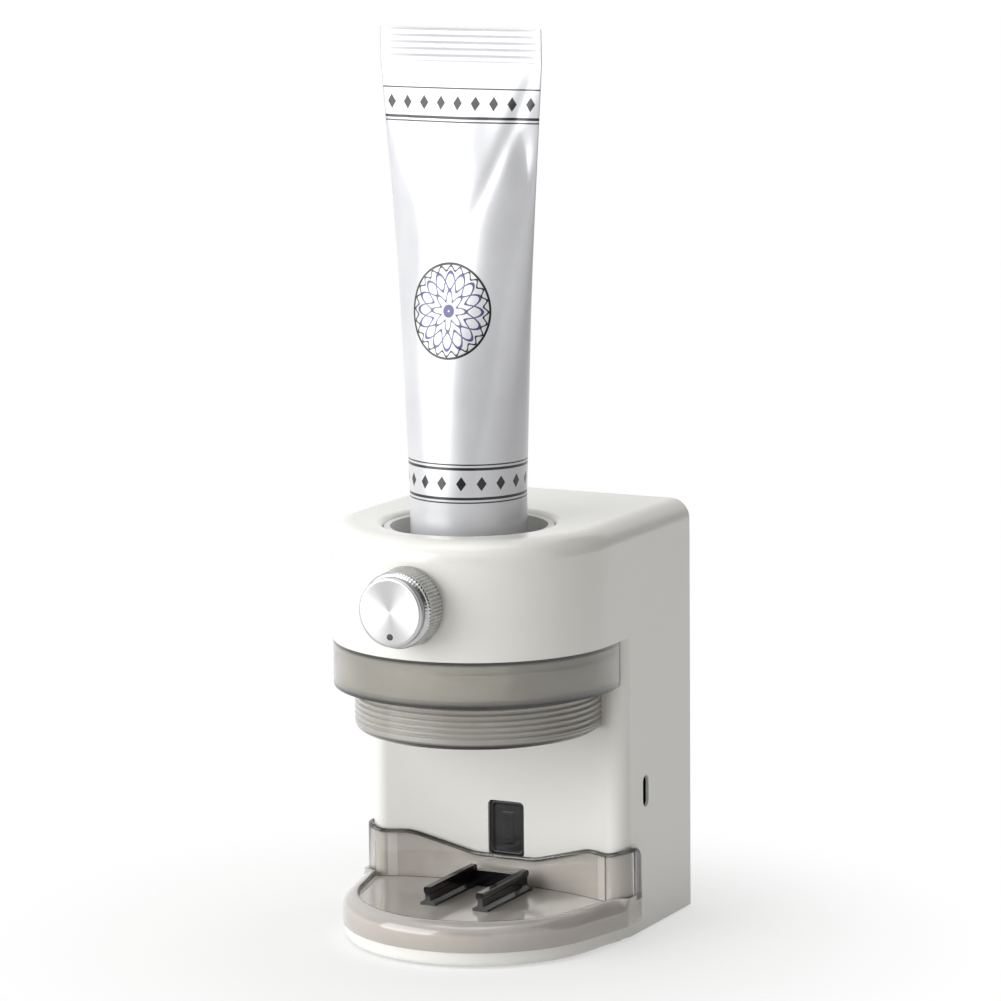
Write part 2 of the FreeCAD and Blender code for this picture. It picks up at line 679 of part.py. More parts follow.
def wing_screen():
    """A screen in YZ that rounds the wings' two rear corners."""
    back = mm("wing_back_y")
    half = mm("half_width + wing_top_z")
    shape = box_between((-half, half), (-2 * half, back), (mm("foot_top_z"), mm("wing_top_z")))
    rear = [edge for edge in shape.Edges if edge.BoundBox.YMin > back - 1e-3]
    return shape.makeFillet(mm("wing_round"), [edge for edge in rear if edge.BoundBox.XLength > half])


def brush_tray():
    """Skirt, floor and lip in one slab, then the wall along the column's face with its cove."""
    low = mm("foot_top_z")
    lip = mm("lip_top_z")
    floor = mm("tray_floor_z")
    flare = mm("flare_y")
    gap = mm("slide_gap")
    wall = gap + mm("tray_wall")
    slab = tray_profile(0, low, lip)
    slab = slab.makeFillet(mm("lip_round"), edges_at(slab, lip, lambda point: point.y < flare - OVER))
    dish = tray_profile(-mm("lip_width"), floor, lip + OVER).cut(prism(column_outline(wall), 0, 2 * lip))
    under = tray_profile(-mm("skirt_wall"), 0, mm("plinth_top_z"))
    slab = slab.cut([dish, under])
    top = mm("wing_top_z") + OVER
    ring = prism(column_outline(wall), low, top)
    cove = prism(column_outline(wall + mm("cove_width")), floor - OVER, mm("cove_top_z"))
    cove = cove.common(tray_profile(-mm("lip_width"), 0, top))
    back = box_between((-2 * top, 2 * top), (mm("wing_back_y"), 4 * top), (0, 2 * top))
    ring = ring.cut([back, under])
    tray = slab.fuse([ring, cove.cut(back)])
    tray = tray.cut(prism(column_outline(gap), 0, 2 * top))
    return tray.common(wave_screen()).common(wing_screen()).removeSplitter()


node("brush_tray", solid("tray", brush_tray()))


# Guide rails for the brush: two I-shaped strips, tied by a bar at the back.
def brush_guide():
    """Each rail lofted from its front section to a slightly higher back one; a bar ties their ends."""
    floor = mm("tray_floor_z")
    half = mm("rail_head") / 2
    waist = mm("rail_waist") / 2
    foot = mm("rail_foot_width") / 2
    foot_edge = mm("rail_foot_edge")
    foot_slope = mm("rail_foot_slope")
    head_height = mm("rail_head_height")
    head_slope = mm("rail_head_slope")
    edge = mm("rail_edge")

    def section(x, y, height):
        half_side = [
            (foot, 0), (foot, foot_edge), (waist, foot_edge + foot_slope),
            (waist, height - head_height - head_slope), (half, height - head_height),
            (half, height - edge), (half - edge, height),
        ]
        around = half_side + [(-across, up) for across, up in reversed(half_side)]
        points = [vec(x + across, y, floor + up) for across, up in around]
        return Part.makePolygon(points + points[:1])

    front = mm("rail_front_y")
    back = mm("rail_back_y")
    rails = []
    for side in (-1, 1):
        x = side * mm("rail_x")
        ends = [section(x, front, mm("rail_front_height")), section(x, back, mm("rail_back_height"))]
        rails.append(Part.makeLoft(ends, True, True))
    tie_y = back - mm("tie_width")
    inner = mm("rail_x")
    tie = box_between((-inner, inner), (tie_y, tie_y + mm("tie_width")), (floor, floor + mm("tie_height")))
    return rails[0].fuse([rails[1], tie]).removeSplitter()


node("brush_guide", solid("guide", brush_guide()))


# Knob: a knurled skirt with a hub for the stem, and a spun cap pressed into its front.
skirt_blank = turned("skirt_blank", "y", "0", "skirt_front_y", "knob_z", [
    ("stem_radius + press_gap", "0"),
    ("skirt_front_radius", "0"),
    ("skirt_radius", "skirt_length"),
    ("skirt_radius - knob_wall", "skirt_length"),
    ("skirt_radius - knob_wall", "knob_wall"),
    ("hub_radius", "knob_wall"),
    ("hub_radius", "hub_depth"),
    ("stem_radius + press_gap", "hub_depth"),
])
knurls = []
for index in range(SIZES["knurl_count"]):
    turn_angle = f"360 * {index} / knurl_count"
    across = f"knurl_ring * sin({turn_angle})"
    up = f"knob_z + knurl_ring * cos({turn_angle})"
    knurls.append(rod(f"knurl_{index}", "y", across, "skirt_front_y - skirt_length / 2", up, "knurl_depth",
                      "2 * skirt_length"))
node("knob_skirt", cut("skirt", skirt_blank, knurls))
cap = turned("cap", "y", "0", "cap_rear_y", "knob_z", [
    ("0", "0"),
    ("groove_radius", "0"),
    ("groove_radius", "groove_width"),
    ("0", "groove_width"),
])
cap_face = turned("cap_face", "y", "0", "cap_rear_y - cap_length", "knob_z", [
    ("0", "0"),
    ("cap_radius - cap_chamfer", "0"),
    ("cap_radius", "cap_chamfer"),
    ("cap_radius", "cap_length"),
    ("0", "cap_length"),
])
node("knob_cap", join("cap_whole", [cap, cap_face]))
node("knob_stem", rod("stem", "y", "0", "skirt_front_y", "knob_z", "stem_radius",
                      "inner_front_y + stem_reach - skirt_front_y"))

# Potentiometer behind the head's front wall: its bush comes through and takes a nut.
pot_blank = join("pot_blank", [
    rod("pot_can", "y", "0", "inner_front_y", "knob_z", "pot_radius", "pot_length"),
    rod("pot_bush", "y", "0", "spot_y - nut_length", "knob_z", "bush_radius",
        f"inner_front_y - spot_y + nut_length + {OVER}"),
])
node("volume_pot", cut("pot", pot_blank, [
    rod("pot_bore", "y", "0", "spot_y - 2 * nut_length", "knob_z", "stem_radius + run_gap",
        "inner_front_y + stem_reach + run_gap - spot_y + 2 * nut_length"),
]))
nut_blank = doc.addObject("Part::Prism", "nut_blank")
nut_blank.Polygon = 6
bind(nut_blank, Circumradius="nut_radius", Height="nut_length")
placed(nut_blank, "y", "0", "spot_y - nut_length", "knob_z")
node("pot_nut", cut("nut", nut_blank, [
    rod("nut_bore", "y", "0", "spot_y - 2 * nut_length", "knob_z", "bush_radius + press_gap",
        "3 * nut_length"),
]))

# Tube well: a cup that hangs from the top wall by its flange.
well_blank = turned("well_blank", "z", "0", "0", "0", [
    ("adapter_radius + fit_gap", "well_floor_z - well_wall"),
    ("well_radius - fit_gap", "well_floor_z - well_wall"),
    ("well_radius - fit_gap", "top_z - top_wall - well_flange_height"),
    ("well_radius + well_flange", "top_z - top_wall - well_flange_height"),
    ("well_radius + well_flange", "top_z - top_wall"),
    ("well_radius - fit_gap", "top_z - top_wall"),
    ("well_radius - fit_gap", "top_z - well_sunk"),
    ("well_radius - fit_gap - well_wall", "top_z - well_sunk"),
    ("well_radius - fit_gap - well_wall", "well_floor_z"),
    ("adapter_radius + fit_gap", "well_floor_z"),
])
node("tube_well", well_blank)

# Adapter: takes the tube's neck and leads the paste down into the pump.
node("neck_adapter", turned("adapter", "z", "0", "0", "0", [
    ("duct_radius", "pump_top_z"),
    ("adapter_radius", "pump_top_z"),
    ("adapter_radius", "well_floor_z"),
    ("adapter_flange_radius", "well_floor_z"),
    ("adapter_flange_radius", "adapter_top_z"),
    ("neck_radius + slide_gap", "adapter_top_z"),
    ("neck_radius + slide_gap", "seal_z"),
    ("duct_radius", "seal_z"),
]))
node("neck_seal", turned("seal", "z", "0", "0", "0", [
    ("duct_radius", "seal_z"),
    ("neck_radius", "seal_z"),
    ("neck_radius", "neck_z"),
    ("duct_radius", "neck_z"),
]))

# Toothpaste tube, neck down: a laminate sleeve full of paste that flattens to a crimped end.
node("tube_shoulder", turned("shoulder", "z", "0", "0", "0", [
    ("duct_radius", "neck_z"),
    ("neck_radius", "neck_z"),
    ("neck_radius", "shoulder_z"),
    ("tube_radius", "tube_base_z"),
    ("duct_radius", "tube_base_z"),
]))


# Share of the sleeve's height that stays round, and how fast it flattens above that.
ROUND_SHARE = 0.12
FLATTENING = 1.1


def tube_sleeve():
    """Ellipses of one girth, from a circle at the shoulder to a thin one below the crimp."""
    low = mm("tube_base_z")
    high = mm("tube_top_z") - mm("crimp_height")
    wide = mm("crimp_half_width")
    thin = mm("crimp_thickness") / 2
    radius = mm("tube_radius")
    rings = []
    for share in (0, ROUND_SHARE, 0.4, 0.7, 1):
        flat = max(0, (share - ROUND_SHARE) / (1 - ROUND_SHARE))
        across = radius + (wide - radius) * flat
        deep = radius + (thin - radius) * flat**FLATTENING
        height = low + (high - low) * share
        if across - deep < 1e-6:
            edge = Part.makeCircle(radius, vec(0, 0, height))
        else:
            edge = Part.Ellipse(vec(0, 0, height), across, deep).toShape()
        rings.append(Part.Wire([edge]))
    sleeve = Part.makeLoft(rings, True)
    crimp = box_between((-wide, wide), (-thin, thin), (high - OVER, mm("tube_top_z")))
    return sleeve.fuse(crimp).removeSplitter()


node("tube_sleeve", solid("sleeve", tube_sleeve()))


# Gears: involute teeth on a disc, turning about Y.
def gear_shape(teeth, module, x, z, front, width, bore, tooth_at):
    """A spur gear with one tooth centred on an angle measured from +X towards +Z."""
    pitch = teeth * module / 2
    pressure = math.radians(mm("pressure_angle"))
    base = pitch * math.cos(pressure)
    tip = pitch + mm("tooth_height") * module
    root = pitch - mm("tooth_depth") * module
    spread = math.tan(pressure) - pressure
    half_tooth = math.pi / (2 * teeth) - mm("tooth_play") / pitch

    def flank(radius):
        roll = math.sqrt(max(0, (radius / base) ** 2 - 1))
        return half_tooth + spread - (roll - math.atan(roll))

    def at(radius, angle):
        return vec(x + radius * math.cos(angle), front, z + radius * math.sin(angle))

    start = max(base, root)
    steps = [start + (tip - start) * share for share in (0, 0.3, 0.65, 1)]
    edges = []
    step_angle = 2 * math.pi / teeth
    for index in range(int(teeth)):
        middle = math.radians(tooth_at) + index * step_angle
        rising = [at(radius, middle - flank(radius)) for radius in steps]
        falling = [at(radius, middle + flank(radius)) for radius in reversed(steps)]
        low_left = at(root, middle - flank(start))
        low_right = at(root, middle + flank(start))
        next_left = at(root, middle + step_angle - flank(start))
        if start > root + 1e-6:
            edges.append(Part.LineSegment(low_left, rising[0]).toShape())
        curve = Part.BSplineCurve()
        curve.interpolate(rising)
        edges.append(curve.toShape())
        edges.append(Part.Arc(rising[-1], at(tip, middle), falling[0]).toShape())
        curve = Part.BSplineCurve()
        curve.interpolate(falling)
        edges.append(curve.toShape())
        if start > root + 1e-6:
            edges.append(Part.LineSegment(falling[-1], low_right).toShape())
        edges.append(Part.Arc(low_right, at(root, middle + step_angle / 2), next_left).toShape())
    blank = Part.Face(Part.Wire(edges)).extrude(vec(0, width, 0))
    return blank.cut(along_y(x, front - OVER, z, bore, width + 2 * OVER))


pump_pitch = mm("pump_pitch")
pump_z = mm("pump_z")
pump_teeth = mm("pump_teeth")
pump_front = mm("pump_front_y + run_gap")
pump_gear_width = mm("pump_width - 2 * run_gap")
shaft_bore = mm("shaft_radius + press_gap")
pump_module = mm("pump_module")
node("pump_drive_gear", solid("pump_gear_a", gear_shape(
    pump_teeth, pump_module, pump_pitch, pump_z, pump_front, pump_gear_width, shaft_bore, 180)))
node("pump_follower_gear", solid("pump_gear_b", gear_shape(
    pump_teeth, pump_module, -pump_pitch, pump_z, pump_front, pump_gear_width,
    mm("pin_radius + run_gap"), 180 / pump_teeth)))

wheel_teeth = mm("wheel_teeth")
pinion_teeth = mm("pinion_teeth")
gear_module = mm("gear_module")
compound_x = mm("compound_x")
lean = mm("pinion_lean")
node("output_gear", solid("output_wheel", gear_shape(
    wheel_teeth, gear_module, pump_pitch, pump_z, mm("gear_front_y"), mm("gear_width"), shaft_bore, 180)))
small_wheel = gear_shape(
    pinion_teeth, gear_module, compound_x, pump_z, mm("gear_front_y"), mm("gear_width + gear_gap"),
    mm("axle_radius + run_gap"), 180 / pinion_teeth)
large_wheel = gear_shape(
    wheel_teeth, gear_module, compound_x, pump_z, mm("wheel_front_y"), mm("wheel_width"),
    mm("axle_radius + run_gap"), lean)
node("compound_gear", solid("compound", small_wheel.fuse(large_wheel)))
node("motor_pinion", solid("pinion", gear_shape(
    pinion_teeth, gear_module, mm("pinion_x"), mm("pinion_z"), mm("wheel_front_y"), mm("wheel_width"),
    mm("motor_shaft_radius + press_gap"), lean + 180 + 180 / pinion_teeth)))

# Shafts and axles.
node("drive_shaft", rod("shaft", "y", "pump_pitch", "pump_front_y + run_gap", "pump_z", "shaft_radius",
                        "motor_y - pump_front_y - run_gap"))
node("gear_axle", rod("axle", "y", "compound_x", "frame_front_y", "pump_z", "axle_radius",
                      "motor_y - frame_front_y"))
node("follower_pin", rod("pin", "y", "-1 * pump_pitch", "pump_front_y - pump_cover", "pump_z", "pin_radius",
                         "pump_back_y - pump_front_y + pump_cover"))
node("motor_shaft", rod("rotor", "y", "pinion_x", "wheel_front_y", "pinion_z", "motor_shaft_radius",
                        "motor_y + motor_shaft_depth - wheel_front_y"))

# Pump: a body with a figure-eight chamber, a cover, a shaft seal and two arms to the gear frame.
pump_block = join("pump_block", [
    block("pump_solid", ("-1 * pump_half_width", "pump_half_width"), ("pump_front_y", "pump_back_y"),
          ("pump_bottom_z", "pump_top_z")),
] + [
    rod(name, "y", x, f"pump_back_y - {OVER}", "arm_z", "arm_radius", f"frame_front_y - pump_back_y + {OVER}")
    for name, x in (("pump_arm_left", "-1 * arm_x"), ("pump_arm_right", "arm_x"))
])
PUMP_SCREWS = [
    (f"{side} * (pump_half_width - pump_screw_inset)", height)
    for side in (-1, 1)
    for height in ("pump_bottom_z + pump_screw_inset", "pump_top_z - pump_screw_inset")
]
ARM_SCREWS = [("-1 * arm_x", "arm_z"), ("arm_x", "arm_z")]
pump_cuts = [
    rod("chamber_left", "y", "-1 * pump_pitch", f"pump_front_y - {OVER}", "pump_z", "cavity_radius",
        f"pump_width + {OVER}"),
    rod("chamber_right", "y", "pump_pitch", f"pump_front_y - {OVER}", "pump_z", "cavity_radius",
        f"pump_width + {OVER}"),
    rod("duct", "z", "0", "0", f"pump_bottom_z - {OVER}", "duct_radius",
        f"pump_top_z - pump_bottom_z + 2 * {OVER}"),
    rod("shaft_way", "y", "pump_pitch", "pump_front_y", "pump_z", "shaft_radius + run_gap", "2 * pump_width"),
    rod("seal_seat", "y", "pump_pitch", "pump_back_y - shaft_seal_length", "pump_z",
        "shaft_seal_radius + press_gap", f"shaft_seal_length + {OVER}"),
    rod("pin_way", "y", "-1 * pump_pitch", "pump_front_y", "pump_z", "pin_radius + press_gap",
        "2 * pump_width"),
]
for index, (x, z) in enumerate(PUMP_SCREWS):
    pump_cuts.append(rod(f"pump_tap_{index}", "y", x, f"pump_front_y - {OVER}", z, "screw_way",
                         f"screw_length + {OVER} + press_gap"))
for index, (x, z) in enumerate(ARM_SCREWS):
    pump_cuts.append(rod(f"arm_tap_{index}", "y", x, "frame_front_y - screw_length - press_gap", z,
                         "screw_way", f"screw_length + {OVER}"))
node("pump_body", cut("pump", pump_block, pump_cuts))
cover_block = block("pump_lid", ("-1 * pump_half_width", "pump_half_width"),
                    ("pump_front_y - pump_cover", "pump_front_y"), ("pump_bottom_z", "pump_top_z"))
lid_cuts = [rod("lid_pin_way", "y", "-1 * pump_pitch", "pump_front_y - 2 * pump_cover", "pump_z",
                "pin_radius + press_gap", "3 * pump_cover")]
for index, (x, z) in enumerate(PUMP_SCREWS):
    lid_cuts.append(rod(f"lid_hole_{index}", "y", x, "pump_front_y - 2 * pump_cover", z, "screw_way",
                        "3 * pump_cover"))
node("pump_cover", cut("lid", cover_block, lid_cuts))
node("shaft_seal", turned("lip_seal", "y", "pump_pitch", "pump_back_y - shaft_seal_length", "pump_z", [
    ("shaft_radius + run_gap", "0"),
    ("shaft_seal_radius", "0"),
    ("shaft_seal_radius", "shaft_seal_length"),
    ("shaft_radius + run_gap", "shaft_seal_length"),
]))
lid_screws = []
for index, (x, z) in enumerate(PUMP_SCREWS):
    lid_screws.append(turned(f"lid_screw_{index}", "y", x, "pump_front_y - pump_cover", z, [
        ("0", "-1 * screw_head"),
        ("screw_head_radius", "-1 * screw_head"),
        ("screw_head_radius", "0"),
        ("screw_radius", "0"),
        ("screw_radius", "pump_cover + screw_length"),
        ("0", "pump_cover + screw_length"),
    ]))
node("pump_screws", group("lid_screws", lid_screws))

# Outlet: a valve held between the pump and the nozzle's flange.
node("outlet_valve", turned("valve", "z", "0", "0", "pump_bottom_z", [
    ("valve_bore", "0"),
    ("valve_radius", "0"),
    ("valve_radius", "-1 * valve_flange"),
    ("duct_radius", "-1 * valve_flange"),
    ("valve_tip_radius", "-1 * valve_length"),
    ("valve_bore", "-1 * valve_length"),
]))
node("nozzle", turned("spout", "z", "0", "0", "0", [
    ("nozzle_bore", "nozzle_tip_z"),
    ("nozzle_tip_radius", "nozzle_tip_z"),
    ("nozzle_radius", "nozzle_tip_z + nozzle_taper"),
    ("nozzle_radius", "pump_bottom_z - nozzle_flange"),
    ("nozzle_flange_radius", "pump_bottom_z - nozzle_flange"),
    ("nozzle_flange_radius", "pump_bottom_z"),
    ("valve_radius + press_gap", "pump_bottom_z"),
    ("valve_radius + press_gap", "pump_bottom_z - valve_flange"),
    ("nozzle_bore", "pump_bottom_z - valve_flange"),
]))

# Gear frame: a front plate with four pillars, and a rear plate that carries the motor.
PILLARS = [(x, z) for x in ("pillar_left_x", "pillar_right_x") for z in ("pillar_low_z", "pillar_high_z")]
frame_blank = join("frame_blank", [
    block("frame_sheet", ("-1 * frame_half_width", "frame_half_width"), ("frame_front_y", "frame_back_y"),
          ("frame_bottom_z", "frame_top_z")),
] + [
    rod(f"pillar_{index}", "y", x, "frame_front_y", z, "pillar_radius", "rear_plate_y - frame_front_y")
    for index, (x, z) in enumerate(PILLARS)
])
FRAME_SCREWS = ARM_SCREWS + frame_post_screws()
frame_cuts = [
    rod("frame_bush_seat", "y", "pump_pitch", "frame_front_y - frame_plate", "pump_z", "bush_seat",
        "3 * frame_plate"),
    rod("frame_axle_seat", "y", "compound_x", "frame_front_y - frame_plate", "pump_z",
        "axle_radius + press_gap", "3 * frame_plate"),
]
for index, (x, z) in enumerate(FRAME_SCREWS):
    frame_cuts.append(rod(f"frame_hole_{index}", "y", x, "frame_front_y - frame_plate", z, "screw_way",
                          "3 * frame_plate"))
    frame_cuts.append(rod(f"frame_sink_{index}", "y", x, "frame_back_y - screw_head", z,
                          "screw_sink", "2 * screw_head"))
for index, (x, z) in enumerate(PILLARS):
    frame_cuts.append(rod(f"pillar_tap_{index}", "y", x, "rear_plate_y - screw_length - press_gap", z,
                          "screw_way", f"screw_length + {OVER}"))
node("gear_frame", cut("frame", frame_blank, frame_cuts))
rear_cuts = [
    rod("rear_bush_seat", "y", "pump_pitch", "rear_plate_y - rear_plate", "pump_z", "bush_seat",
        "3 * rear_plate"),
    rod("rear_axle_seat", "y", "compound_x", "rear_plate_y - rear_plate", "pump_z", "axle_radius + press_gap",
        "3 * rear_plate"),
    rod("motor_seat", "y", "pinion_x", "rear_plate_y - rear_plate", "pinion_z",
        "motor_boss_radius + press_gap", "3 * rear_plate"),
]
for index, (x, z) in enumerate(PILLARS):
    rear_cuts.append(rod(f"rear_hole_{index}", "y", x, "rear_plate_y - rear_plate", z, "screw_way",
                         "3 * rear_plate"))
rear_sheet = block("rear_sheet", ("-1 * frame_half_width", "frame_half_width"), ("rear_plate_y", "motor_y"),
                   ("frame_bottom_z", "rear_plate_top_z"))
node("rear_plate", cut("rear", rear_sheet, rear_cuts))
bushes = []
for index, (y, length) in enumerate((("frame_front_y", "frame_plate"), ("rear_plate_y", "rear_plate"))):
    bushes.append(turned(f"bush_{index}", "y", "pump_pitch", y, "pump_z", [
        ("shaft_radius + run_gap", "0"),
        ("shaft_radius + bush_ring", "0"),
        ("shaft_radius + bush_ring", length),
        ("shaft_radius + run_gap", length),
    ]))
node("shaft_bushes", group("bush_pair", bushes))
sunk_grip = "frame_plate - screw_head"
screws("frame_screws", [(x, z, sunk_grip) for x, z in FRAME_SCREWS], "frame_back_y - screw_head")
screws("plate_screws", [(x, z, "rear_plate") for x, z in PILLARS], "motor_y")

# Motor: a can bolted through its boss to the rear plate, with a bore for its shaft.
motor_blank = join("motor_blank", [
    rod("motor_can", "y", "pinion_x", "motor_y", "pinion_z", "motor_radius", "motor_length"),
    rod("motor_boss", "y", "pinion_x", "rear_plate_y", "pinion_z", "motor_boss_radius",
        f"rear_plate + {OVER}"),
    rod("motor_end", "y", "pinion_x", f"motor_y + motor_length - {OVER}", "pinion_z", "motor_boss_radius",
        f"motor_tail + {OVER}"),
])
node("motor", cut("motor_whole", motor_blank, [
    rod("motor_bore", "y", "pinion_x", f"rear_plate_y - {OVER}", "pinion_z", "motor_shaft_radius + run_gap",
        f"rear_plate + {OVER} + motor_shaft_depth + run_gap"),
]))

# Battery across the bottom of the column, in a holder on the shell's floor.
holder_half = "(cell_length / 2 + holder_wall + cell_cap)"
holder_block = block(
    "holder_block", (f"-1 * {holder_half}", holder_half),
    ("cell_y - cell_radius - holder_wall", "cell_y + cell_radius + holder_wall"),
    ("inner_floor_z", "inner_floor_z + holder_height"),
)
node("battery_holder", cut("holder", holder_block, [
    rod("holder_trough", "x", "-1 * cell_length / 2 - cell_cap", "cell_y", "cell_z",
        "cell_radius + press_gap", "cell_length + 2 * cell_cap"),
]))
node("battery_cell", turned("cell", "x", "-1 * cell_length / 2 - cell_cap / 2", "cell_y", "cell_z", [
    ("0", "0"),
    ("cell_radius", "0"),
    ("cell_radius", "cell_length"),
    ("cell_cap_radius", "cell_length"),
    ("cell_cap_radius", "cell_length + cell_cap"),
    ("0", "cell_length + cell_cap"),
]))

# Main board on three bosses, with its parts and the charging port at its right edge.
board_sheet = block("board_sheet", ("board_left_x", "board_right_x"), ("board_y", "board_y + board"),
                    ("board_bottom_z", "board_top_z"))
node("main_board", cut("board", board_sheet, [
    rod(f"board_hole_{index}", "y", x, "board_y - board", z, "screw_way", "3 * board")
    for index, (x, z) in enumerate(BOARD_BOSSES)
]))
screws("board_screws", [(x, z, "board") for x, z in BOARD_BOSSES], "board_y + board")
# Each part on the board: how far in from its left and bottom edges, then width, height and depth.
BOARD_PARTS = {
    "controller": (12, 20, 9, 9, 1.2),
    "driver": (26, 20, 6, 5, 1.4),
    "charger": (38, 16, 5, 5, 1.2),
    "coil": (28, 9, 7, 7, 3.2),
    "motor_plug": (16, 7, 8, 4, 4),
}
board_parts = []
for name, (x, z, wide, tall, deep) in BOARD_PARTS.items():
    across = (f"board_left_x + {x}", f"board_left_x + {x + wide}")
    up = (f"board_bottom_z + {z}", f"board_bottom_z + {z + tall}")
    board_parts.append(block(name, across, ("board_y + board", f"board_y + board + {deep}"), up))
node("board_parts", group("chips", board_parts))


def usb_port():
    """The receptacle's metal shell: a rounded tube closed behind."""
    right = mm("half_width - usb_sunk")
    left = right - mm("usb_length")
    shell = mm("usb_shell")
    return usb_block(left, right, 0).cut(usb_block(left + shell, right + OVER, -shell))


def usb_tongue():
    """The contact tongue inside the port, seated on its back wall."""
    right = mm("half_width - usb_sunk - tongue_sunk")
    left = mm("half_width - usb_sunk - usb_length + usb_shell")
    y = mm("usb_y")
    z = mm("usb_z")
    half = mm("usb_width / 2 - tongue_margin")
    thick = mm("tongue_thickness / 2")
    return box_between((left, right), (y - thick, y + thick), (z - half, z + half))


node("usb_port", solid("port", usb_port()))
node("usb_tongue", solid("tongue", usb_tongue()))


# Sensor: a dark window in the column's face, with its board and two infrared parts behind.
def sensor_window():
    """A rounded block set back in the face, hollow behind."""
    front = mm("window_y")
    back = mm("window_back_y")
    return window_prism(front, back, 0).cut(
        window_prism(front + mm("window_face"), back + OVER, -mm("window_rim")))


node("sensor_window", solid("window", sensor_window()))
margin = "sensor_board_margin"
node("sensor_board", block(
    "sensor_sheet", (f"-1 * window_half_width - {margin}", f"window_half_width + {margin}"),
    ("window_back_y", "window_back_y + sensor_board"),
    (f"window_bottom_z - {margin}", f"window_top_z + {margin}"),
))
for label, side in (("ir_emitter", 1), ("ir_receiver", -1)):
    height = f"window_mid_z + {side} * led_spread"
    stem = rod(f"{label}_stem", "y", "0", "window_back_y - led_length", height, "led_radius", "led_length")
    dome = doc.addObject("Part::Sphere", f"{label}_dome")
    bind(dome, Radius="led_radius")
    placed(dome, "z", "0", "window_back_y - led_length", height)
    node(label, join(f"{label}_whole", [stem, dome]))

# Every object recomputed without an error, every sub-part one valid shape, then written out.
doc.recompute()
for thing in doc.Objects:
    if "Invalid" in thing.State or "Error" in thing.State:
        raise RuntimeError(f"{thing.Name} failed: {thing.State}")
os.makedirs("parts", exist_ok=True)
for label, thing in NODES.items():
    shape = thing.Shape
    if shape.isNull() or not shape.isValid():
        raise RuntimeError(f"{label} has no valid shape")
    print(label, len(shape.Solids), "solids", round(shape.Volume, 1), "mm3")
for label, thing in NODES.items():
    thing.Shape.exportStep(f"parts/{label}.step")
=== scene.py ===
import math

import bpy
import numpy as np
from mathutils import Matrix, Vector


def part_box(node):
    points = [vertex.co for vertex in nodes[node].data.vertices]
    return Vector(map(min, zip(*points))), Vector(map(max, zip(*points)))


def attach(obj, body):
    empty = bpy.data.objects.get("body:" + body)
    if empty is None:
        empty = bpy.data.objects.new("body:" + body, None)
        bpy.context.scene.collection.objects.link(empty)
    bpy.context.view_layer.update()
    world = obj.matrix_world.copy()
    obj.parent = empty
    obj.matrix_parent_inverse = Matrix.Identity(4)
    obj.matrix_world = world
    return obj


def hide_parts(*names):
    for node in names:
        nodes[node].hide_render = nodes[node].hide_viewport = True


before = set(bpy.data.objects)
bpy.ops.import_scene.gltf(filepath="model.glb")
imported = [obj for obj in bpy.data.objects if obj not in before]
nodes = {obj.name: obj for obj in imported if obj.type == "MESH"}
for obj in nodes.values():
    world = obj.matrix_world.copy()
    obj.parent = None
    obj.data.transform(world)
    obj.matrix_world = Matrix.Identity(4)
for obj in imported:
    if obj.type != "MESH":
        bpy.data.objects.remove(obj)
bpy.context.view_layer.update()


# White shell, back cover and foot pad
# Head, column and foot are one glossy injection moulding of white plastic. A cover of the same plastic
# closes the back, held by four plain screws, and a grey silicone pad under the foot stops it sliding.
def new_finish(name, **sockets):
    """A material whose shader starts from plain socket values; words joined by _ name a socket."""
    material = bpy.data.materials.new(name)
    material.use_nodes = True
    shader = material.node_tree.nodes["Principled BSDF"]
    for socket, value in sockets.items():
        shader.inputs[socket.replace("_", " ")].default_value = value
    return material


def add_node(material, kind, inputs, **settings):
    """A node of a kind: settings are its own properties, inputs its sockets as values or as links."""
    tree = material.node_tree
    made = tree.nodes.new(f"ShaderNode{kind}")
    for key, value in settings.items():
        setattr(made, key, value)
    for key, value in inputs.items():
        if isinstance(value, bpy.types.NodeSocket):
            tree.links.new(value, made.inputs[key])
        else:
            made.inputs[key].default_value = value
    return made


def feed(material, **sources):
    """Links a node's output into each named socket of the material's shader."""
    shader = material.node_tree.nodes["Principled BSDF"]
    for socket, source in sources.items():
        material.node_tree.links.new(source, shader.inputs[socket.replace("_", " ")])


def place_of(material, stretch=(1, 1, 1)):
    """Object coordinates, stretched along the axes."""
    coordinates = add_node(material, "TexCoord", {}).outputs["Object"]
    return add_node(material, "Mapping", {"Vector": coordinates, "Scale": stretch}).outputs["Vector"]


def cloud(material, place, scale, detail=3.0):
    """Smooth noise between 0 and 1, scale being how many swells there are to a metre."""
    return add_node(material, "TexNoise", {"Vector": place, "Scale": scale, "Detail": detail}).outputs["Fac"]


def shade(material, value, stops):
    """Turns a value between 0 and 1 into a colour along stops of (value, colour)."""
    ramp = add_node(material, "ValToRGB", {"Fac": value})
    elements = ramp.color_ramp.elements
    while len(elements) < len(stops):
        elements.new(1.0)
    for element, (at, colour) in zip(elements, stops):
        element.position = at
        element.color = (*colour, 1)
    return ramp.outputs["Color"]


def between(material, value, low, high):
    """Carries a value from the range 0 to 1 over to the range low to high."""
    return add_node(material, "MapRange", {"Value": value, "To Min": low, "To Max": high}).outputs["Result"]


def relief(material, height, depth):
    """A bump of a height field, depth being its full height in metres."""
    return add_node(material, "Bump", {"Height": height, "Distance": depth}).outputs["Normal"]


def mottle(material, dark, light, swell, rough, grain, depth, stretch=(1, 1, 1)):
    """Colour and roughness drift on slow noise, and fine noise lifts the surface by depth."""
    place = place_of(material, stretch)
    drift = cloud(material, place, swell)
    fine = cloud(material, place, grain)
    feed(
        material,
        Base_Color=shade(material, drift, [(0.3, dark), (0.7, light)]),
        Roughness=between(material, drift, *rough),
        Normal=relief(material, fine, depth),
    )
    return material


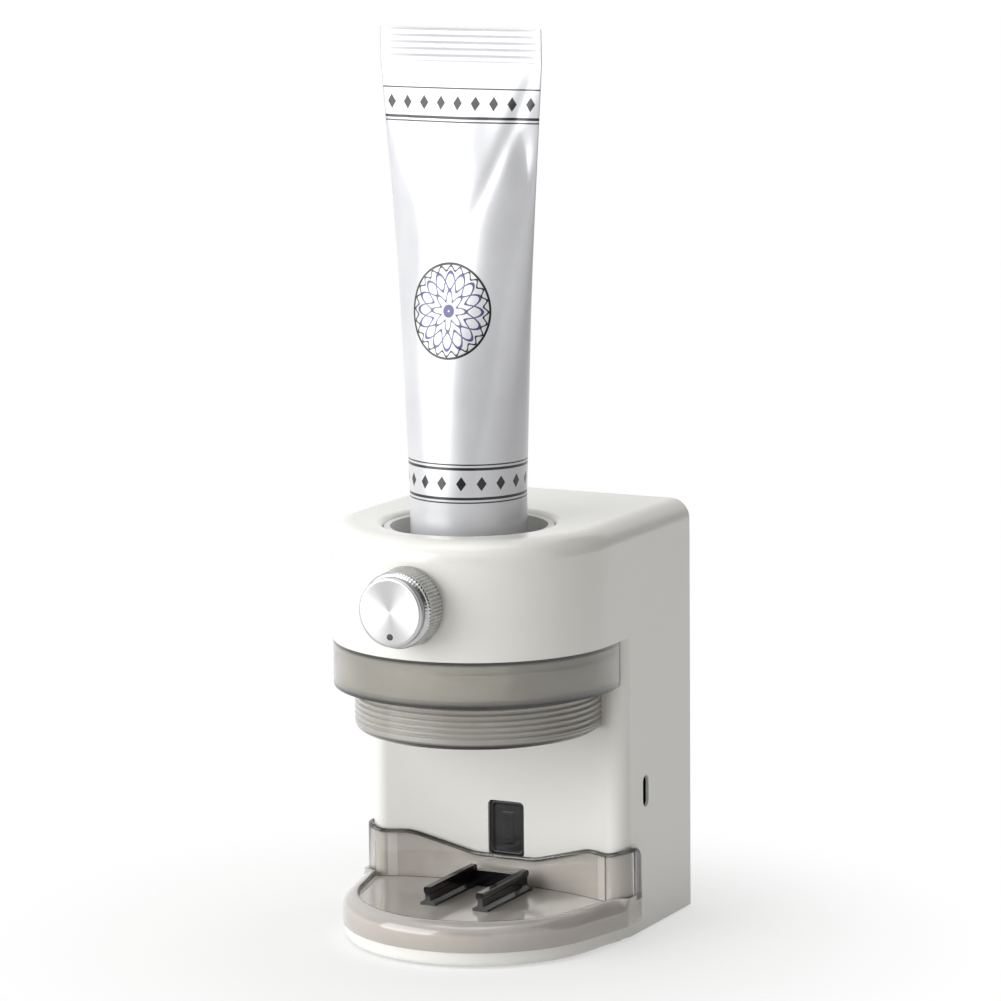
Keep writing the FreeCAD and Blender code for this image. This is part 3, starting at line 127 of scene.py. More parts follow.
def wear(material, *names):
    """Gives CAD nodes a finish."""
    for name in names:
        for slot in nodes[name].material_slots:
            slot.material = material


SHELL_WHITE = (0.84, 0.835, 0.805)
SHELL_CREAM = (0.81, 0.803, 0.765)
shell_plastic = new_finish("shell_gloss_plastic", Coat_Weight=0.35, Coat_Roughness=0.06, IOR=1.5)
mottle(shell_plastic, SHELL_CREAM, SHELL_WHITE, swell=14.0, rough=(0.2, 0.27), grain=900.0, depth=0.000012)
wear(shell_plastic, "main_housing", "back_cover")

pad_rubber = new_finish("pad_silicone", Specular_IOR_Level=0.3)
mottle(pad_rubber, (0.30, 0.30, 0.30), (0.38, 0.38, 0.37),
       swell=60.0, rough=(0.55, 0.75), grain=1500.0, depth=0.00004)
wear(pad_rubber, "base_pad", "neck_seal", "shaft_seal", "outlet_valve")

screw_steel = new_finish("screw_steel", Metallic=1.0)
mottle(screw_steel, (0.42, 0.42, 0.43), (0.62, 0.62, 0.62),
       swell=250.0, rough=(0.25, 0.45), grain=2500.0, depth=0.00002)
wear(screw_steel, "cover_screws", "pump_screws", "frame_screws", "plate_screws", "board_screws", "pot_nut")


# Smoky band and ribbed collar
# A half ring of clear smoky plastic closes the head below, flush with it. Under it hangs a narrower cup
# of the same plastic with ringed grips, pulled down to clean the nozzle.
MM = 0.001
SMOKE = (0.74, 0.715, 0.655)
SMOKE_DEEP = (0.62, 0.595, 0.54)
# Painted shade: a near-black tint laid as a line along moulded edges, and how far that line reaches
EDGE_SHADE_PAINT = (0.012, 0.011, 0.01)
EDGE_SHADE_REACH = 1.5 * MM
SMOKE_DRIFT = 35.0
SMOKE_GRAIN = 1200.0
SMOKE_SWELL = 0.02 * MM
ROUGH_SPREAD = 0.1


def blend(material, share, under, over, way="MIX"):
    """Lays one colour over another by a share, mixed or multiplied."""
    mixed = add_node(material, "Mix", {0: share, 6: under, 7: over}, data_type="RGBA", blend_type=way)
    return mixed.outputs[2]


def smoky_plastic(name, pale, deep, clear, roughness, coat, shaded_edges=(), bands=()):
    """Plastic that is clear to a share and tints what is behind it; lamps shine through it, tinted.

    Painted shade: within a set reach of each moulded edge, given as an axis and a place, the tint darkens
    to a near-black line standing in for the shade that refraction gives there.
    Bands, where given, tint the piece by how far in from its rim a point lies.
    """
    material = new_finish(name, Transmission_Weight=clear, IOR=1.49, Coat_Weight=coat, Coat_Roughness=0.03)
    place = place_of(material)
    drift = cloud(material, place, SMOKE_DRIFT)
    fine = cloud(material, place, SMOKE_GRAIN)
    tint = shade(material, drift, [(0.3, deep), (0.7, pale)])
    if bands:
        inset = add_node(material, "Attribute", {}, attribute_name="inset").outputs["Fac"]
        banded = shade(material, inset, bands)
        tint = blend(material, 1.0, tint, banded, "MULTIPLY")
    along = add_node(material, "SeparateXYZ", {"Vector": place}).outputs
    # Each edge darkens the tint to a line of painted shade.
    for axis, edge in shaded_edges:
        away = add_node(material, "Math", {0: along[axis], 1: edge}, operation="SUBTRACT").outputs["Value"]
        away = add_node(material, "Math", {0: away}, operation="ABSOLUTE").outputs["Value"]
        near = add_node(material, "MapRange", {
            "Value": away, "From Min": EDGE_SHADE_REACH / 2, "From Max": EDGE_SHADE_REACH, "To Min": 1.0, "To Max": 0.0,
        }).outputs["Result"]
        tint = blend(material, near, tint, (*EDGE_SHADE_PAINT, 1))
    feed(
        material,
        Base_Color=tint,
        Roughness=between(material, fine, roughness * (1 - ROUGH_SPREAD), roughness * (1 + ROUGH_SPREAD)),
        Normal=relief(material, drift, SMOKE_SWELL),
    )
    tree = material.node_tree
    lamp_ray = add_node(material, "LightPath", {}).outputs["Is Shadow Ray"]
    passing = add_node(material, "BsdfTransparent", {"Color": tint})
    mixed = add_node(material, "MixShader", {
        0: lamp_ray,
        1: tree.nodes["Principled BSDF"].outputs["BSDF"],
        2: passing.outputs["BSDF"],
    })
    tree.links.new(mixed.outputs["Shader"], tree.nodes["Material Output"].inputs["Surface"])
    return material


band_low, band_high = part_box("head_band")
collar_low, collar_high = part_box("ribbed_collar")
BAND_SPIGOT = 4.0 * MM
COLLAR_ROUND = 0.6 * MM
COLLAR_LAP = 1.6 * MM
COLLAR_SMOKE = (0.68, 0.653, 0.6)
COLLAR_DEEP = (0.58, 0.555, 0.51)
# Where painted shade lines run: the band's top, bottom and rear ends, and the collar's foot and top.
band_shade_lines = (("Z", band_high.z - BAND_SPIGOT), ("Z", band_low.z), ("Y", band_high.y))
collar_shade_lines = (("Z", collar_low.z + COLLAR_ROUND), ("Z", collar_high.z - COLLAR_LAP))
band_plastic = smoky_plastic(
    "band_smoky_plastic", SMOKE, SMOKE_DEEP, clear=0.8, roughness=0.32, coat=0.8, shaded_edges=band_shade_lines)
wear(band_plastic, "head_band")
collar_plastic = smoky_plastic(
    "collar_smoky_plastic", COLLAR_SMOKE, COLLAR_DEEP, clear=0.5, roughness=0.3, coat=0.9, shaded_edges=collar_shade_lines)


def grid_piece(name, points, material, body, closed=(False, False)):
    """A mesh of quads on a grid of points; closed says which of its two ways joins up with its start."""
    rows, columns = points.shape[:2]
    index = np.arange(rows * columns).reshape(rows, columns)
    if closed[0]:
        index = np.vstack([index, index[:1]])
    if closed[1]:
        index = np.hstack([index, index[:, :1]])
    corners = [index[:-1, :-1], index[1:, :-1], index[1:, 1:], index[:-1, 1:]]
    faces = np.stack(corners, axis=-1).reshape(-1, 4)
    mesh = bpy.data.meshes.new(name)
    mesh.from_pydata(points.reshape(-1, 3), [], faces)
    mesh.polygons.foreach_set("use_smooth", np.ones(len(faces), dtype=bool))
    mesh.materials.append(material)
    mesh.update()
    piece = bpy.data.objects.new(name, mesh)
    bpy.context.scene.collection.objects.link(piece)
    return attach(piece, body)


def capped(points):
    """The same grid with each end of its run drawn together on the middle of its profile."""
    first = np.broadcast_to(points[:, :1].mean(axis=0), points[:, :1].shape)
    last = np.broadcast_to(points[:, -1:].mean(axis=0), points[:, -1:].shape)
    return np.concatenate([first, points, last], axis=1)


RIB_PITCH = 1.75 * MM
RIB_FIRST = 3.8 * MM
RIB_COUNT = 6
RIB_DEPTH = 0.55 * MM
CUP_WALL = 2.0 * MM
CUP_ROUND = 2.6 * MM
CUP_OPENING = 10.6 * MM
CUP_ROWS = 150
CUP_STEPS = 221
BEND_STEPS = 28
cup_radius = collar_high.x
cup_centre_y = collar_low.y + cup_radius


def cup_surface():
    """A closed profile of ringed wall, rounded foot, floor and inner wall carried round the part ring.

    The ribs are a cosine of the height; each end of the ring closes on the middle of its profile.
    """
    low, high = collar_low.z, collar_high.z
    wall_z = np.linspace(low + CUP_ROUND, high, CUP_ROWS)
    wave = (wall_z - low - RIB_FIRST) / RIB_PITCH
    ribbed = (wave > -0.5) & (wave < RIB_COUNT - 0.5)
    wall_radius = cup_radius - RIB_DEPTH * (0.5 + 0.5 * np.cos(2 * np.pi * wave)) ** 2 * ribbed
    bend = np.linspace(-np.pi / 2, 0, BEND_STEPS // 2)
    foot_radius = cup_radius - CUP_ROUND + CUP_ROUND * np.cos(bend)
    foot_z = low + CUP_ROUND + CUP_ROUND * np.sin(bend)
    inner = cup_radius - CUP_WALL
    radius = np.concatenate([[CUP_OPENING], foot_radius, wall_radius, [inner, inner, CUP_OPENING]])
    z = np.concatenate([[low], foot_z, wall_z, [high, low + CUP_WALL, low + CUP_WALL]])
    past = np.arcsin((collar_high.y - cup_centre_y) / cup_radius)
    turn = np.linspace(past, -np.pi - past, CUP_STEPS)
    x = radius[:, None] * np.cos(turn)[None]
    y = cup_centre_y + radius[:, None] * np.sin(turn)[None]
    points = np.stack([x, y, np.broadcast_to(z[:, None], x.shape)], axis=-1)
    points[..., 1] = np.minimum(points[..., 1], collar_high.y)
    return capped(points)


collar_cup = grid_piece("collar_cup", cup_surface(), collar_plastic, "collar", (True, False))
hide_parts("ribbed_collar")


# Tube well and neck adapter
# The cup that the tube stands in and the adapter that grips its neck are satin white mouldings,
# screwed up into the head from inside.
liner_plastic = new_finish("well_satin_plastic", IOR=1.5)
mottle(liner_plastic, (0.74, 0.74, 0.72), (0.80, 0.80, 0.785),
       swell=30.0, rough=(0.35, 0.5), grain=1400.0, depth=0.00002)
wear(liner_plastic, "tube_well", "neck_adapter", "nozzle")


# Pump, gear train and motor
# Natural acetal mouldings run on steel shafts in bronze bushes between a plastic frame and a steel
# rear plate; the motor is a drawn steel can with a brass pinion.
acetal = new_finish("gear_acetal", IOR=1.48, Subsurface_Weight=0.1)
mottle(acetal, (0.78, 0.77, 0.71), (0.85, 0.84, 0.79),
       swell=80.0, rough=(0.3, 0.45), grain=1800.0, depth=0.00002)
wear(acetal, "pump_body", "pump_cover", "gear_frame", "output_gear", "pump_drive_gear")
wear(acetal, "pump_follower_gear", "compound_gear")

shaft_steel = new_finish("shaft_ground_steel", Metallic=1.0)
mottle(shaft_steel, (0.50, 0.50, 0.51), (0.68, 0.68, 0.68),
       swell=120.0, rough=(0.18, 0.35), grain=900.0, depth=0.00001, stretch=(6, 0.3, 6))
wear(shaft_steel, "drive_shaft", "gear_axle", "follower_pin", "motor_shaft", "knob_stem", "volume_pot")
wear(shaft_steel, "rear_plate", "motor")

bush_bronze = new_finish("bush_bronze", Metallic=1.0)
mottle(bush_bronze, (0.45, 0.30, 0.14), (0.66, 0.47, 0.24),
       swell=400.0, rough=(0.3, 0.5), grain=3000.0, depth=0.00003)
wear(bush_bronze, "shaft_bushes", "motor_pinion")


# Battery, boards and charging port
# A wrapped cell lies in a black holder, a green board carries the control parts, and the port's
# blackened shell looks out through the right wall.
TRACKS_PER_METRE = 420.0
TRACK_HEIGHT = 0.03 * MM
MASK_GREEN = (0.01, 0.13, 0.05)
TRACK_GREEN = (0.05, 0.30, 0.12)


def board_finish():
    """Green mask over copper: straight tracks lie a little paler and prouder than the ground."""
    material = new_finish("board_green_mask", Coat_Weight=0.3)
    place = place_of(material, (1, 0.001, 1))
    tracks = add_node(material, "TexBrick", {"Vector": place, "Scale": TRACKS_PER_METRE})
    feed(
        material,
        Base_Color=shade(material, tracks.outputs["Fac"], [(0.0, MASK_GREEN), (1.0, TRACK_GREEN)]),
        Roughness=between(material, tracks.outputs["Fac"], 0.28, 0.4),
        Normal=relief(material, tracks.outputs["Fac"], TRACK_HEIGHT),
    )
    return material


wear(board_finish(), "main_board", "sensor_board")
chip_plastic = new_finish("chip_black_plastic", IOR=1.5)
mottle(chip_plastic, (0.012, 0.012, 0.012), (0.03, 0.03, 0.03),
       swell=200.0, rough=(0.4, 0.6), grain=2500.0, depth=0.00002)
wear(chip_plastic, "battery_holder", "board_parts", "usb_tongue")
cell_wrap = new_finish("cell_shrink_wrap", Coat_Weight=0.4, Coat_Roughness=0.2)
mottle(cell_wrap, (0.03, 0.12, 0.28), (0.06, 0.19, 0.40),
       swell=90.0, rough=(0.25, 0.4), grain=600.0, depth=0.00004, stretch=(0.4, 1, 1))
wear(cell_wrap, "battery_cell")
port_steel = new_finish("port_blackened_steel", Metallic=1.0)
mottle(port_steel, (0.01, 0.01, 0.01), (0.03, 0.03, 0.03),
       swell=300.0, rough=(0.35, 0.5), grain=2000.0, depth=0.00001)
wear(port_steel, "usb_port")


# Sensor window
# A gloss black moulding that passes infrared, set back in the column's face: a rounded frame round a
# sunk panel, with the domes of the emitter and the receiver showing in it.
def rounded_rectangle(half_wide, half_tall, corner, count):
    """Points round a rectangle with round corners: quarter circles pushed out to its four corners."""
    angle = np.linspace(0, 2 * np.pi, count, endpoint=False) + np.pi / count
    across = (half_wide - corner) * np.sign(np.cos(angle)) + corner * np.cos(angle)
    up = (half_tall - corner) * np.sign(np.sin(angle)) + corner * np.sin(angle)
    return np.stack([across, up], axis=-1)


window_low, window_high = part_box("sensor_window")
WINDOW_CORNER = 1.4 * MM
WINDOW_FRAME = 1.3 * MM
WINDOW_STEP = 0.7 * MM
WINDOW_BEVEL = 0.35 * MM
PANEL_ROWS = 40
DOME_RADIUS = 2.1 * MM
DOME_HEIGHT = 0.1 * MM
DOME_SPREAD = 4.0 * MM
WINDOW_POINTS = 96


def sensor_surface():
    """Rounded rectangles lofted from the rear edge over a bevelled frame, down a step and in to the middle.

    Each ring has an inset and a depth behind the front; on the panel two domes rise as half ellipsoids.
    """
    bevel = WINDOW_BEVEL
    deep = window_high.y - window_low.y
    half = (window_high - window_low) / 2
    middle = (window_high + window_low) / 2
    reach = min(half.x, half.z)
    frame_rings = [
        (reach, deep), (0.0, deep),
        (0.0, 2 * bevel), (0.3 * bevel, 0.7 * bevel), (bevel, 0.15 * bevel), (1.6 * bevel, 0.0),
        (WINDOW_FRAME - 0.5 * bevel, 0.0), (WINDOW_FRAME, 0.3 * bevel),
        (WINDOW_FRAME + 0.2 * bevel, WINDOW_STEP),
    ]
    panel = np.linspace(WINDOW_FRAME + 0.5 * bevel, reach, PANEL_ROWS)
    insets = np.concatenate([[ring[0] for ring in frame_rings], panel])
    depths = np.concatenate([[ring[1] for ring in frame_rings], np.full(panel.shape, WINDOW_STEP)])
    outline = rounded_rectangle(half.x, half.z, WINDOW_CORNER, WINDOW_POINTS)
    room = np.array([half.x, half.z])
    shrink = (room[None, :] - insets[:, None]) / room[None, :]
    flat = outline[None] * shrink[:, None, :]
    height = np.zeros(flat.shape[:2])
    for side in (-1, 1):
        far = np.hypot(flat[..., 0], flat[..., 1] - side * DOME_SPREAD) / DOME_RADIUS
        height += DOME_HEIGHT * np.sqrt(np.clip(1 - far**2, 0, 1))
    on_panel = (insets > WINDOW_FRAME + 0.4 * bevel) & (depths < deep)
    height *= on_panel[:, None]
    y = window_low.y + depths[:, None] - height
    return np.stack([middle.x + flat[..., 0], y, middle.z + flat[..., 1]], axis=-1)[:, ::-1]


window_black = new_finish("window_gloss_black", Coat_Weight=0.25, Coat_Roughness=0.05, IOR=1.35)
mottle(window_black, (0.006, 0.006, 0.007), (0.014, 0.014, 0.016),
       swell=220.0, rough=(0.22, 0.4), grain=1800.0, depth=0.00002)
wear(window_black, "ir_emitter", "ir_receiver")
sensor_panel = grid_piece("sensor_panel", sensor_surface(), window_black, "housing", (False, True))
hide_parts("sensor_window")


# Brush tray and guide rails
# The tray is the same smoky plastic, polished, with a rolled lip and a wavy rear wall; a dark bead along
# the wall's rounded top edge is painted shade, as are the darker lip edge and the dark line where lip
# meets floor. It drops over the foot. Two dark rails, tied by a bar, line the brush up.
TRAY_CLEAR = (1.0, 1.0, 1.0)
TRAY_CLOUDED = (0.94, 0.937, 0.93)
TRAY_FLOOR = (0.84, 0.805, 0.765)
TRAY_LIP = (0.80, 0.76, 0.725)
TRAY_LIP_EDGE_SHADE = (0.66, 0.62, 0.588)
TRAY_SHADE_LINE = (0.10, 0.094, 0.09)
TRAY_WALL = (0.72, 0.70, 0.68)
TRAY_WALL_DEEP = (0.69, 0.67, 0.65)
# Tints by distance in from the rim: the lip's and the floor's own tints, with painted shade darkening the
# skirt and the lip's outer edge, and a dark line of painted shade where the lip meets the floor.
tray_tints_and_shade = (
    (0.0, TRAY_LIP_EDGE_SHADE), (0.2, TRAY_LIP), (0.43, TRAY_LIP),
    (0.48, TRAY_SHADE_LINE), (0.51, TRAY_SHADE_LINE), (0.55, TRAY_FLOOR),
)
tray_plastic = smoky_plastic(
    "tray_smoky_plastic", TRAY_CLEAR, TRAY_CLOUDED, clear=0.45, roughness=0.12, coat=0.6, bands=tray_tints_and_shade)
wall_plastic = smoky_plastic(
    "wall_smoky_plastic", TRAY_WALL, TRAY_WALL_DEEP, clear=0.9, roughness=0.02, coat=0.0)
tray_low, tray_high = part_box("brush_tray")
shell_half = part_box("main_housing")[1].x
TRAY_INSET = 1.6 * MM
FLARE_Y = 13 * MM
FLARE_BLEND = 1.5 * MM
LIP_TOP = 13.4 * MM
LIP_WIDTH = 4.6 * MM
LIP_ROUND = 4.2 * MM
FLOOR_TOP = 11.8 * MM
FLOOR_UNDER = 9.8 * MM
FLOOR_COVE = 0.9 * MM
TRAY_SKIRT = 2.4 * MM
CRISP = 0.05 * MM
CRISP_SHARE = 0.995
WALL_GAP = 0.3 * MM
WALL_THICK = 1.5 * MM
FACE_FRONT = 14.5 * MM
FACE_HOLLOW = 7.5 * MM
FACE_CORNER = 4.5 * MM
WING_ROUND = 3.5 * MM
WAVE_SHARES = (0.0, 0.24, 0.47, 0.7, 0.88, 1.0, 1.2)
WAVE_HEIGHTS = tuple(height * MM for height in (20.6, 20.8, 23.6, 26.6, 26.4, 27.8, 28.0))
FINE_COUNT = 4000
HALF_COUNT = 160
WING_COUNT = 24
FLOOR_ROWS = 8
CREST_STEPS = 15
WAVE_SAMPLES = 400
WAVE_SOFTENING = 61


def even_run(points, count):
    """Points spaced evenly along a line of short steps."""
    steps = np.linalg.norm(np.diff(points, axis=0), axis=1)
    far = np.concatenate([[0], np.cumsum(steps)])
    places = np.linspace(0, far[-1], count)
    return np.stack([np.interp(places, far, points[:, axis]) for axis in range(2)], axis=-1)


def both_halves(front, side_x):
    """A run from the middle to the wing, the wing's straight side behind it, and their mirror image."""
    wing_y = np.linspace(front[-1, 1], tray_high.y, WING_COUNT)[1:]
    half = np.concatenate([front, np.stack([np.full(len(wing_y), side_x), wing_y], axis=-1)])
    return np.concatenate([half[:0:-1] * np.array([-1, 1]), half])


def column_line(out):
    """The shell's hollow face and rounded corners seen from above, moved out by a gap.

    The face is an arc through its two corners and its middle.
    """
    flat = shell_half - FACE_CORNER
    hollow_radius = (flat**2 + FACE_HOLLOW**2) / (2 * FACE_HOLLOW)
    x = np.linspace(0, flat, FINE_COUNT)
    y = FACE_FRONT + FACE_HOLLOW - hollow_radius + np.sqrt(hollow_radius**2 - x**2) - out
    turn = np.linspace(-np.pi / 2, 0, FINE_COUNT)[1:]
    x = np.concatenate([x, flat + (FACE_CORNER + out) * np.cos(turn)])
    y = np.concatenate([y, FACE_FRONT + FACE_CORNER + (FACE_CORNER + out) * np.sin(turn)])
    return both_halves(even_run(np.stack([x, y], axis=-1), HALF_COUNT), shell_half + out)


def rim_line():
    """The tray's edge from above: a round front, two straight flares that touch it, and the wings' sides."""
    radius = shell_half - TRAY_INSET
    centre_y = tray_low.y + radius
    rise = FLARE_Y - centre_y
    touch = np.arctan2(rise, tray_high.x) - np.arccos(radius / np.hypot(tray_high.x, rise))
    turn = np.linspace(-np.pi / 2, touch, FINE_COUNT)
    x = np.concatenate([radius * np.cos(turn), [tray_high.x, tray_high.x]])
    y = np.concatenate([centre_y + radius * np.sin(turn), [FLARE_Y, FACE_FRONT + FACE_CORNER]])
    return both_halves(even_run(np.stack([x, y], axis=-1), HALF_COUNT), tray_high.x)


def dish_surface():
    """A closed profile of floor, skirt, rolled lip and cove carried along the tray's edge.

    Each profile point is a distance in from the edge, held back at the shell, and a height; the roll fades
    out along the wings, and the floor runs straight from the cove to the shell's face. The second result
    is each row's place between the edge, 0, and the floor, 1.
    """
    rim = rim_line()
    inner = column_line(WALL_GAP)
    along = np.gradient(rim, axis=0)
    inward = np.stack([-along[:, 1], along[:, 0]], axis=-1) / np.linalg.norm(along, axis=1, keepdims=True)
    reach = np.linalg.norm(rim[:, None] - inner[None], axis=-1).min(axis=1)
    rolled = np.clip((FLARE_Y + FLARE_BLEND - rim[:, 1]) / (2 * FLARE_BLEND), 0, 1)
    bend = np.linspace(0, np.pi / 2, BEND_STEPS)
    skirt = [
        (TRAY_SKIRT + CRISP, FLOOR_UNDER), (TRAY_SKIRT, FLOOR_UNDER - CRISP),
        (TRAY_SKIRT, tray_low.z + CRISP), (TRAY_SKIRT - CRISP, tray_low.z),
        (CRISP, tray_low.z), (0, tray_low.z + CRISP),
    ]
    roll = np.stack([LIP_ROUND * (1 - np.cos(bend)), LIP_TOP - LIP_ROUND * (1 - np.sin(bend))], axis=-1)
    cove = np.stack([
        LIP_WIDTH + FLOOR_COVE * (1 - np.cos(bend)), FLOOR_TOP + FLOOR_COVE * (1 - np.sin(bend)),
    ], axis=-1)
    edge = [(LIP_WIDTH - CRISP, LIP_TOP), (LIP_WIDTH, LIP_TOP - CRISP)]
    profile = np.concatenate([skirt, roll, edge, cove])
    depth = np.broadcast_to(profile[:, :1], (len(profile), len(rim))).copy()
    on_roll = slice(len(skirt), len(skirt) + len(roll))
    depth[on_roll] *= rolled
    depth = np.minimum(depth, reach)
    flat = rim + inward * depth[..., None]
    height = np.broadcast_to(profile[:, 1:], depth.shape)
    lip = np.concatenate([flat, height[..., None]], axis=-1)
    share = np.append(np.linspace(0, 1, FLOOR_ROWS + 1)[1:-1], [CRISP_SHARE, 1])[:, None, None]
    floor = flat[-1] + share * (inner - flat[-1])
    floor = np.concatenate([floor, np.full((*floor.shape[:2], 1), FLOOR_TOP)], axis=-1)
    under = np.stack([inner, flat[0] + CRISP_SHARE * (inner - flat[0])])
    under = np.concatenate([under, np.full((*under.shape[:2], 1), FLOOR_UNDER)], axis=-1)
    inset = np.concatenate([
        np.ones(len(under)), np.zeros(len(skirt)),
        profile[len(skirt):, 0] / (2 * LIP_WIDTH), np.ones(len(share)),
    ])
    return capped(np.concatenate([under, lip, floor]))[:, ::-1], inset


def wave_height(x):
    """Height of the wall's wavy top: a smoothed run through a few heights at shares of the half width."""
    even = np.linspace(0, shell_half * WAVE_SHARES[-1], WAVE_SAMPLES)
    wave = np.interp(even, np.array(WAVE_SHARES) * shell_half, WAVE_HEIGHTS)
    weights = np.hanning(WAVE_SOFTENING)
    padded = np.pad(wave, WAVE_SOFTENING // 2, mode="edge")
    return np.interp(np.abs(x), even, np.convolve(padded, weights / weights.sum(), mode="valid"))


def wall_top(line):
    """The wavy height along a line, rounded down over the wing's rear corner."""
    past = np.clip(line[:, 1] - (tray_high.y - WING_ROUND), 0, WING_ROUND)
    past *= np.abs(line[:, 0]) > shell_half
    return wave_height(line[:, 0]) - WING_ROUND + np.sqrt(WING_ROUND**2 - past**2)


def wall_surface():
    """A thin upright strip along the shell's face, from the floor to a wavy top with a half-round edge."""
    middle = column_line(WALL_GAP + WALL_THICK / 2)
    front = column_line(WALL_GAP + WALL_THICK)
    outward = (front - middle)[None]
    top = wall_top(middle)
    bend = np.linspace(0, np.pi, CREST_STEPS)
    rounded = WALL_THICK / 2
    across = np.concatenate([[-1, 1, 1], np.cos(bend), [-1]])
    flat = middle[None] + across[:, None, None] * outward
    crest = top - rounded + rounded * np.sin(bend)[:, None]
    foot = np.full((1, len(top)), FLOOR_TOP)
    height = np.concatenate([foot, foot, foot + CRISP, crest, foot + CRISP])
    return capped(np.concatenate([flat, height[..., None]], axis=-1))[:, ::-1]


dish_points, dish_inset = dish_surface()
tray_dish = grid_piece("tray_dish", dish_points, tray_plastic, "tray", (True, False))
inset_values = np.repeat(dish_inset, dish_points.shape[1]).astype(np.float32)
tray_dish.data.attributes.new("inset", "FLOAT", "POINT").data.foreach_set("value", inset_values)
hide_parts("brush_tray")
tray_wall = grid_piece("tray_wall", wall_surface(), wall_plastic, "tray", (True, False))

BEAD_RADIUS = 0.62 * MM
BEAD_SIDES = 12
BEAD_SIGHT = np.array([0.37, 0.61, 0.7])
WING_FOOT = 6 * MM
WING_STEPS = 12


def bead_path():
    """The wall's top edge, and down the rear end of each wing."""
    line = column_line(WALL_GAP + WALL_THICK / 2)
    line = line[line[:, 1] < tray_high.y - BEAD_RADIUS]
    top = np.concatenate([line, (wall_top(line) - BEAD_RADIUS)[:, None]], axis=-1)
    fall = np.linspace(0, 1, WING_STEPS)[1:, None]
    left = top[0] + fall * (np.array([top[0, 0], top[0, 1], WING_FOOT]) - top[0])
    right = top[-1] + fall * (np.array([top[-1, 0], top[-1, 1], WING_FOOT]) - top[-1])
    return np.concatenate([left[::-1], top, right])


def bead_surface(route, radius, count):
    """A circle carried along a route, square to it, and closed at both ends.

    Its two axes are square to the route and to a fixed line of sight that the route never follows.
    """
    along = np.gradient(route, axis=0)
    along /= np.linalg.norm(along, axis=1, keepdims=True)
    side = np.cross(along, BEAD_SIGHT)
    side /= np.linalg.norm(side, axis=1, keepdims=True)
    over = np.cross(side, along)
    turn = np.linspace(0, 2 * np.pi, count, endpoint=False)[None, :, None]
    rings = route[:, None] + radius * (np.cos(turn) * side[:, None] + np.sin(turn) * over[:, None])
    first = np.repeat(route[:1, None], count, axis=1)
    last = np.repeat(route[-1:, None], count, axis=1)
    return np.concatenate([first, rings, last])


# The bead is a near-black line of painted shade along the wall's top edge and down the wings' rear ends.
bead_shade_plastic = new_finish("bead_painted_edge_shade", Transmission_Weight=0.25, IOR=1.49, Coat_Weight=0.5)
mottle(bead_shade_plastic, (0.035, 0.032, 0.03), (0.075, 0.068, 0.062),
       swell=90.0, rough=(0.04, 0.1), grain=900.0, depth=0.000004)
bead_points = bead_surface(bead_path(), BEAD_RADIUS, BEAD_SIDES)
tray_bead = grid_piece("tray_bead", bead_points, bead_shade_plastic, "tray", (False, True))
rail_plastic = new_finish("rail_dark_plastic", Coat_Weight=0.35, Coat_Roughness=0.04, IOR=1.38)
mottle(rail_plastic, (0.003, 0.003, 0.0035), (0.01, 0.0095, 0.0095),
       swell=150.0, rough=(0.1, 0.2), grain=1500.0, depth=0.00001)
wear(rail_plastic, "brush_guide")


# Dose knob
# A turned aluminium cap with a spun face and a bright chamfer sits in a knurled skirt; a small black
# dot near the rim marks where it points.
def turned_surface(profile, count, centre, ridges=0, ridge_depth=0.0):
    """A profile of (radius, y, knurl share) carried round the Y axis through a centre.

    The knurl takes ridge_depth off the radius as a row of round-topped ridges: the absolute sine.
    """
    profile = np.asarray(profile)
    angle = np.linspace(0, 2 * np.pi, count, endpoint=False)
    notch = ridge_depth * (1 - np.abs(np.sin(angle * ridges / 2)))
    radius = profile[:, 0, None] - profile[:, 2, None] * notch[None]
    y = np.broadcast_to(profile[:, 1, None], radius.shape)
    return np.stack([centre[0] + radius * np.cos(angle), y, centre[1] + radius * np.sin(angle)], axis=-1)


cap_low, cap_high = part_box("knob_cap")
skirt_low, skirt_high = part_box("knob_skirt")
stem_low, stem_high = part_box("knob_stem")
knob_centre = ((cap_low.x + cap_high.x) / 2, (cap_low.z + cap_high.z) / 2)
CAP_CHAMFER = 0.5 * MM
CAP_LENGTH = 2.4 * MM
FACE_DISH = 0.12 * MM
CHAMFER_BREAK = 0.06 * MM
CAP_BREAK = 0.1 * MM
FACE_ROWS = 24
CAP_SIDES = 128
NECK_SIDES = 96
DOT_SIDES = 40
NECK_INSET = 0.65 * MM
KNURL_RIDGES = 64
KNURL_DEPTH = 0.6 * MM
KNURL_STEPS = 8
KNURL_START = 0.04
KNURL_GROWTH = 4
SIDE_ROWS = 10
SKIRT_TAPER = 0.5 * MM
SKIRT_FRONT_BREAK = 0.5 * MM
SKIRT_REAR_BREAK = 0.35 * MM
SPUN_RINGS = 900.0
SPUN_RELIEF = 0.004 * MM
SPUN_DARK = (0.50, 0.50, 0.505)
SPUN_BRIGHT = (0.64, 0.64, 0.64)
SKIRT_WALL = 1.6 * MM


def spun_finish(name, rough):
    """Turned metal: fine rings about the knob's axis tint and dent it, so highlights fan from its middle."""
    material = new_finish(name, Metallic=1.0, Roughness=rough, Anisotropic=0.85)
    coordinates = add_node(material, "TexCoord", {}).outputs["Object"]
    centred = add_node(material, "Mapping", {
        "Vector": coordinates,
        "Location": (-knob_centre[0], 0, -knob_centre[1]),
    }).outputs["Vector"]
    rings = add_node(material, "TexWave", {"Vector": centred, "Scale": SPUN_RINGS, "Distortion": 0.4},
                     wave_type="RINGS", rings_direction="Y").outputs["Fac"]
    feed(
        material,
        Base_Color=shade(material, rings, [(0.0, SPUN_DARK), (1.0, SPUN_BRIGHT)]),
        Normal=relief(material, rings, SPUN_RELIEF),
        Tangent=add_node(material, "Tangent", {}, direction_type="RADIAL", axis="Y").outputs["Tangent"],
    )
    return material


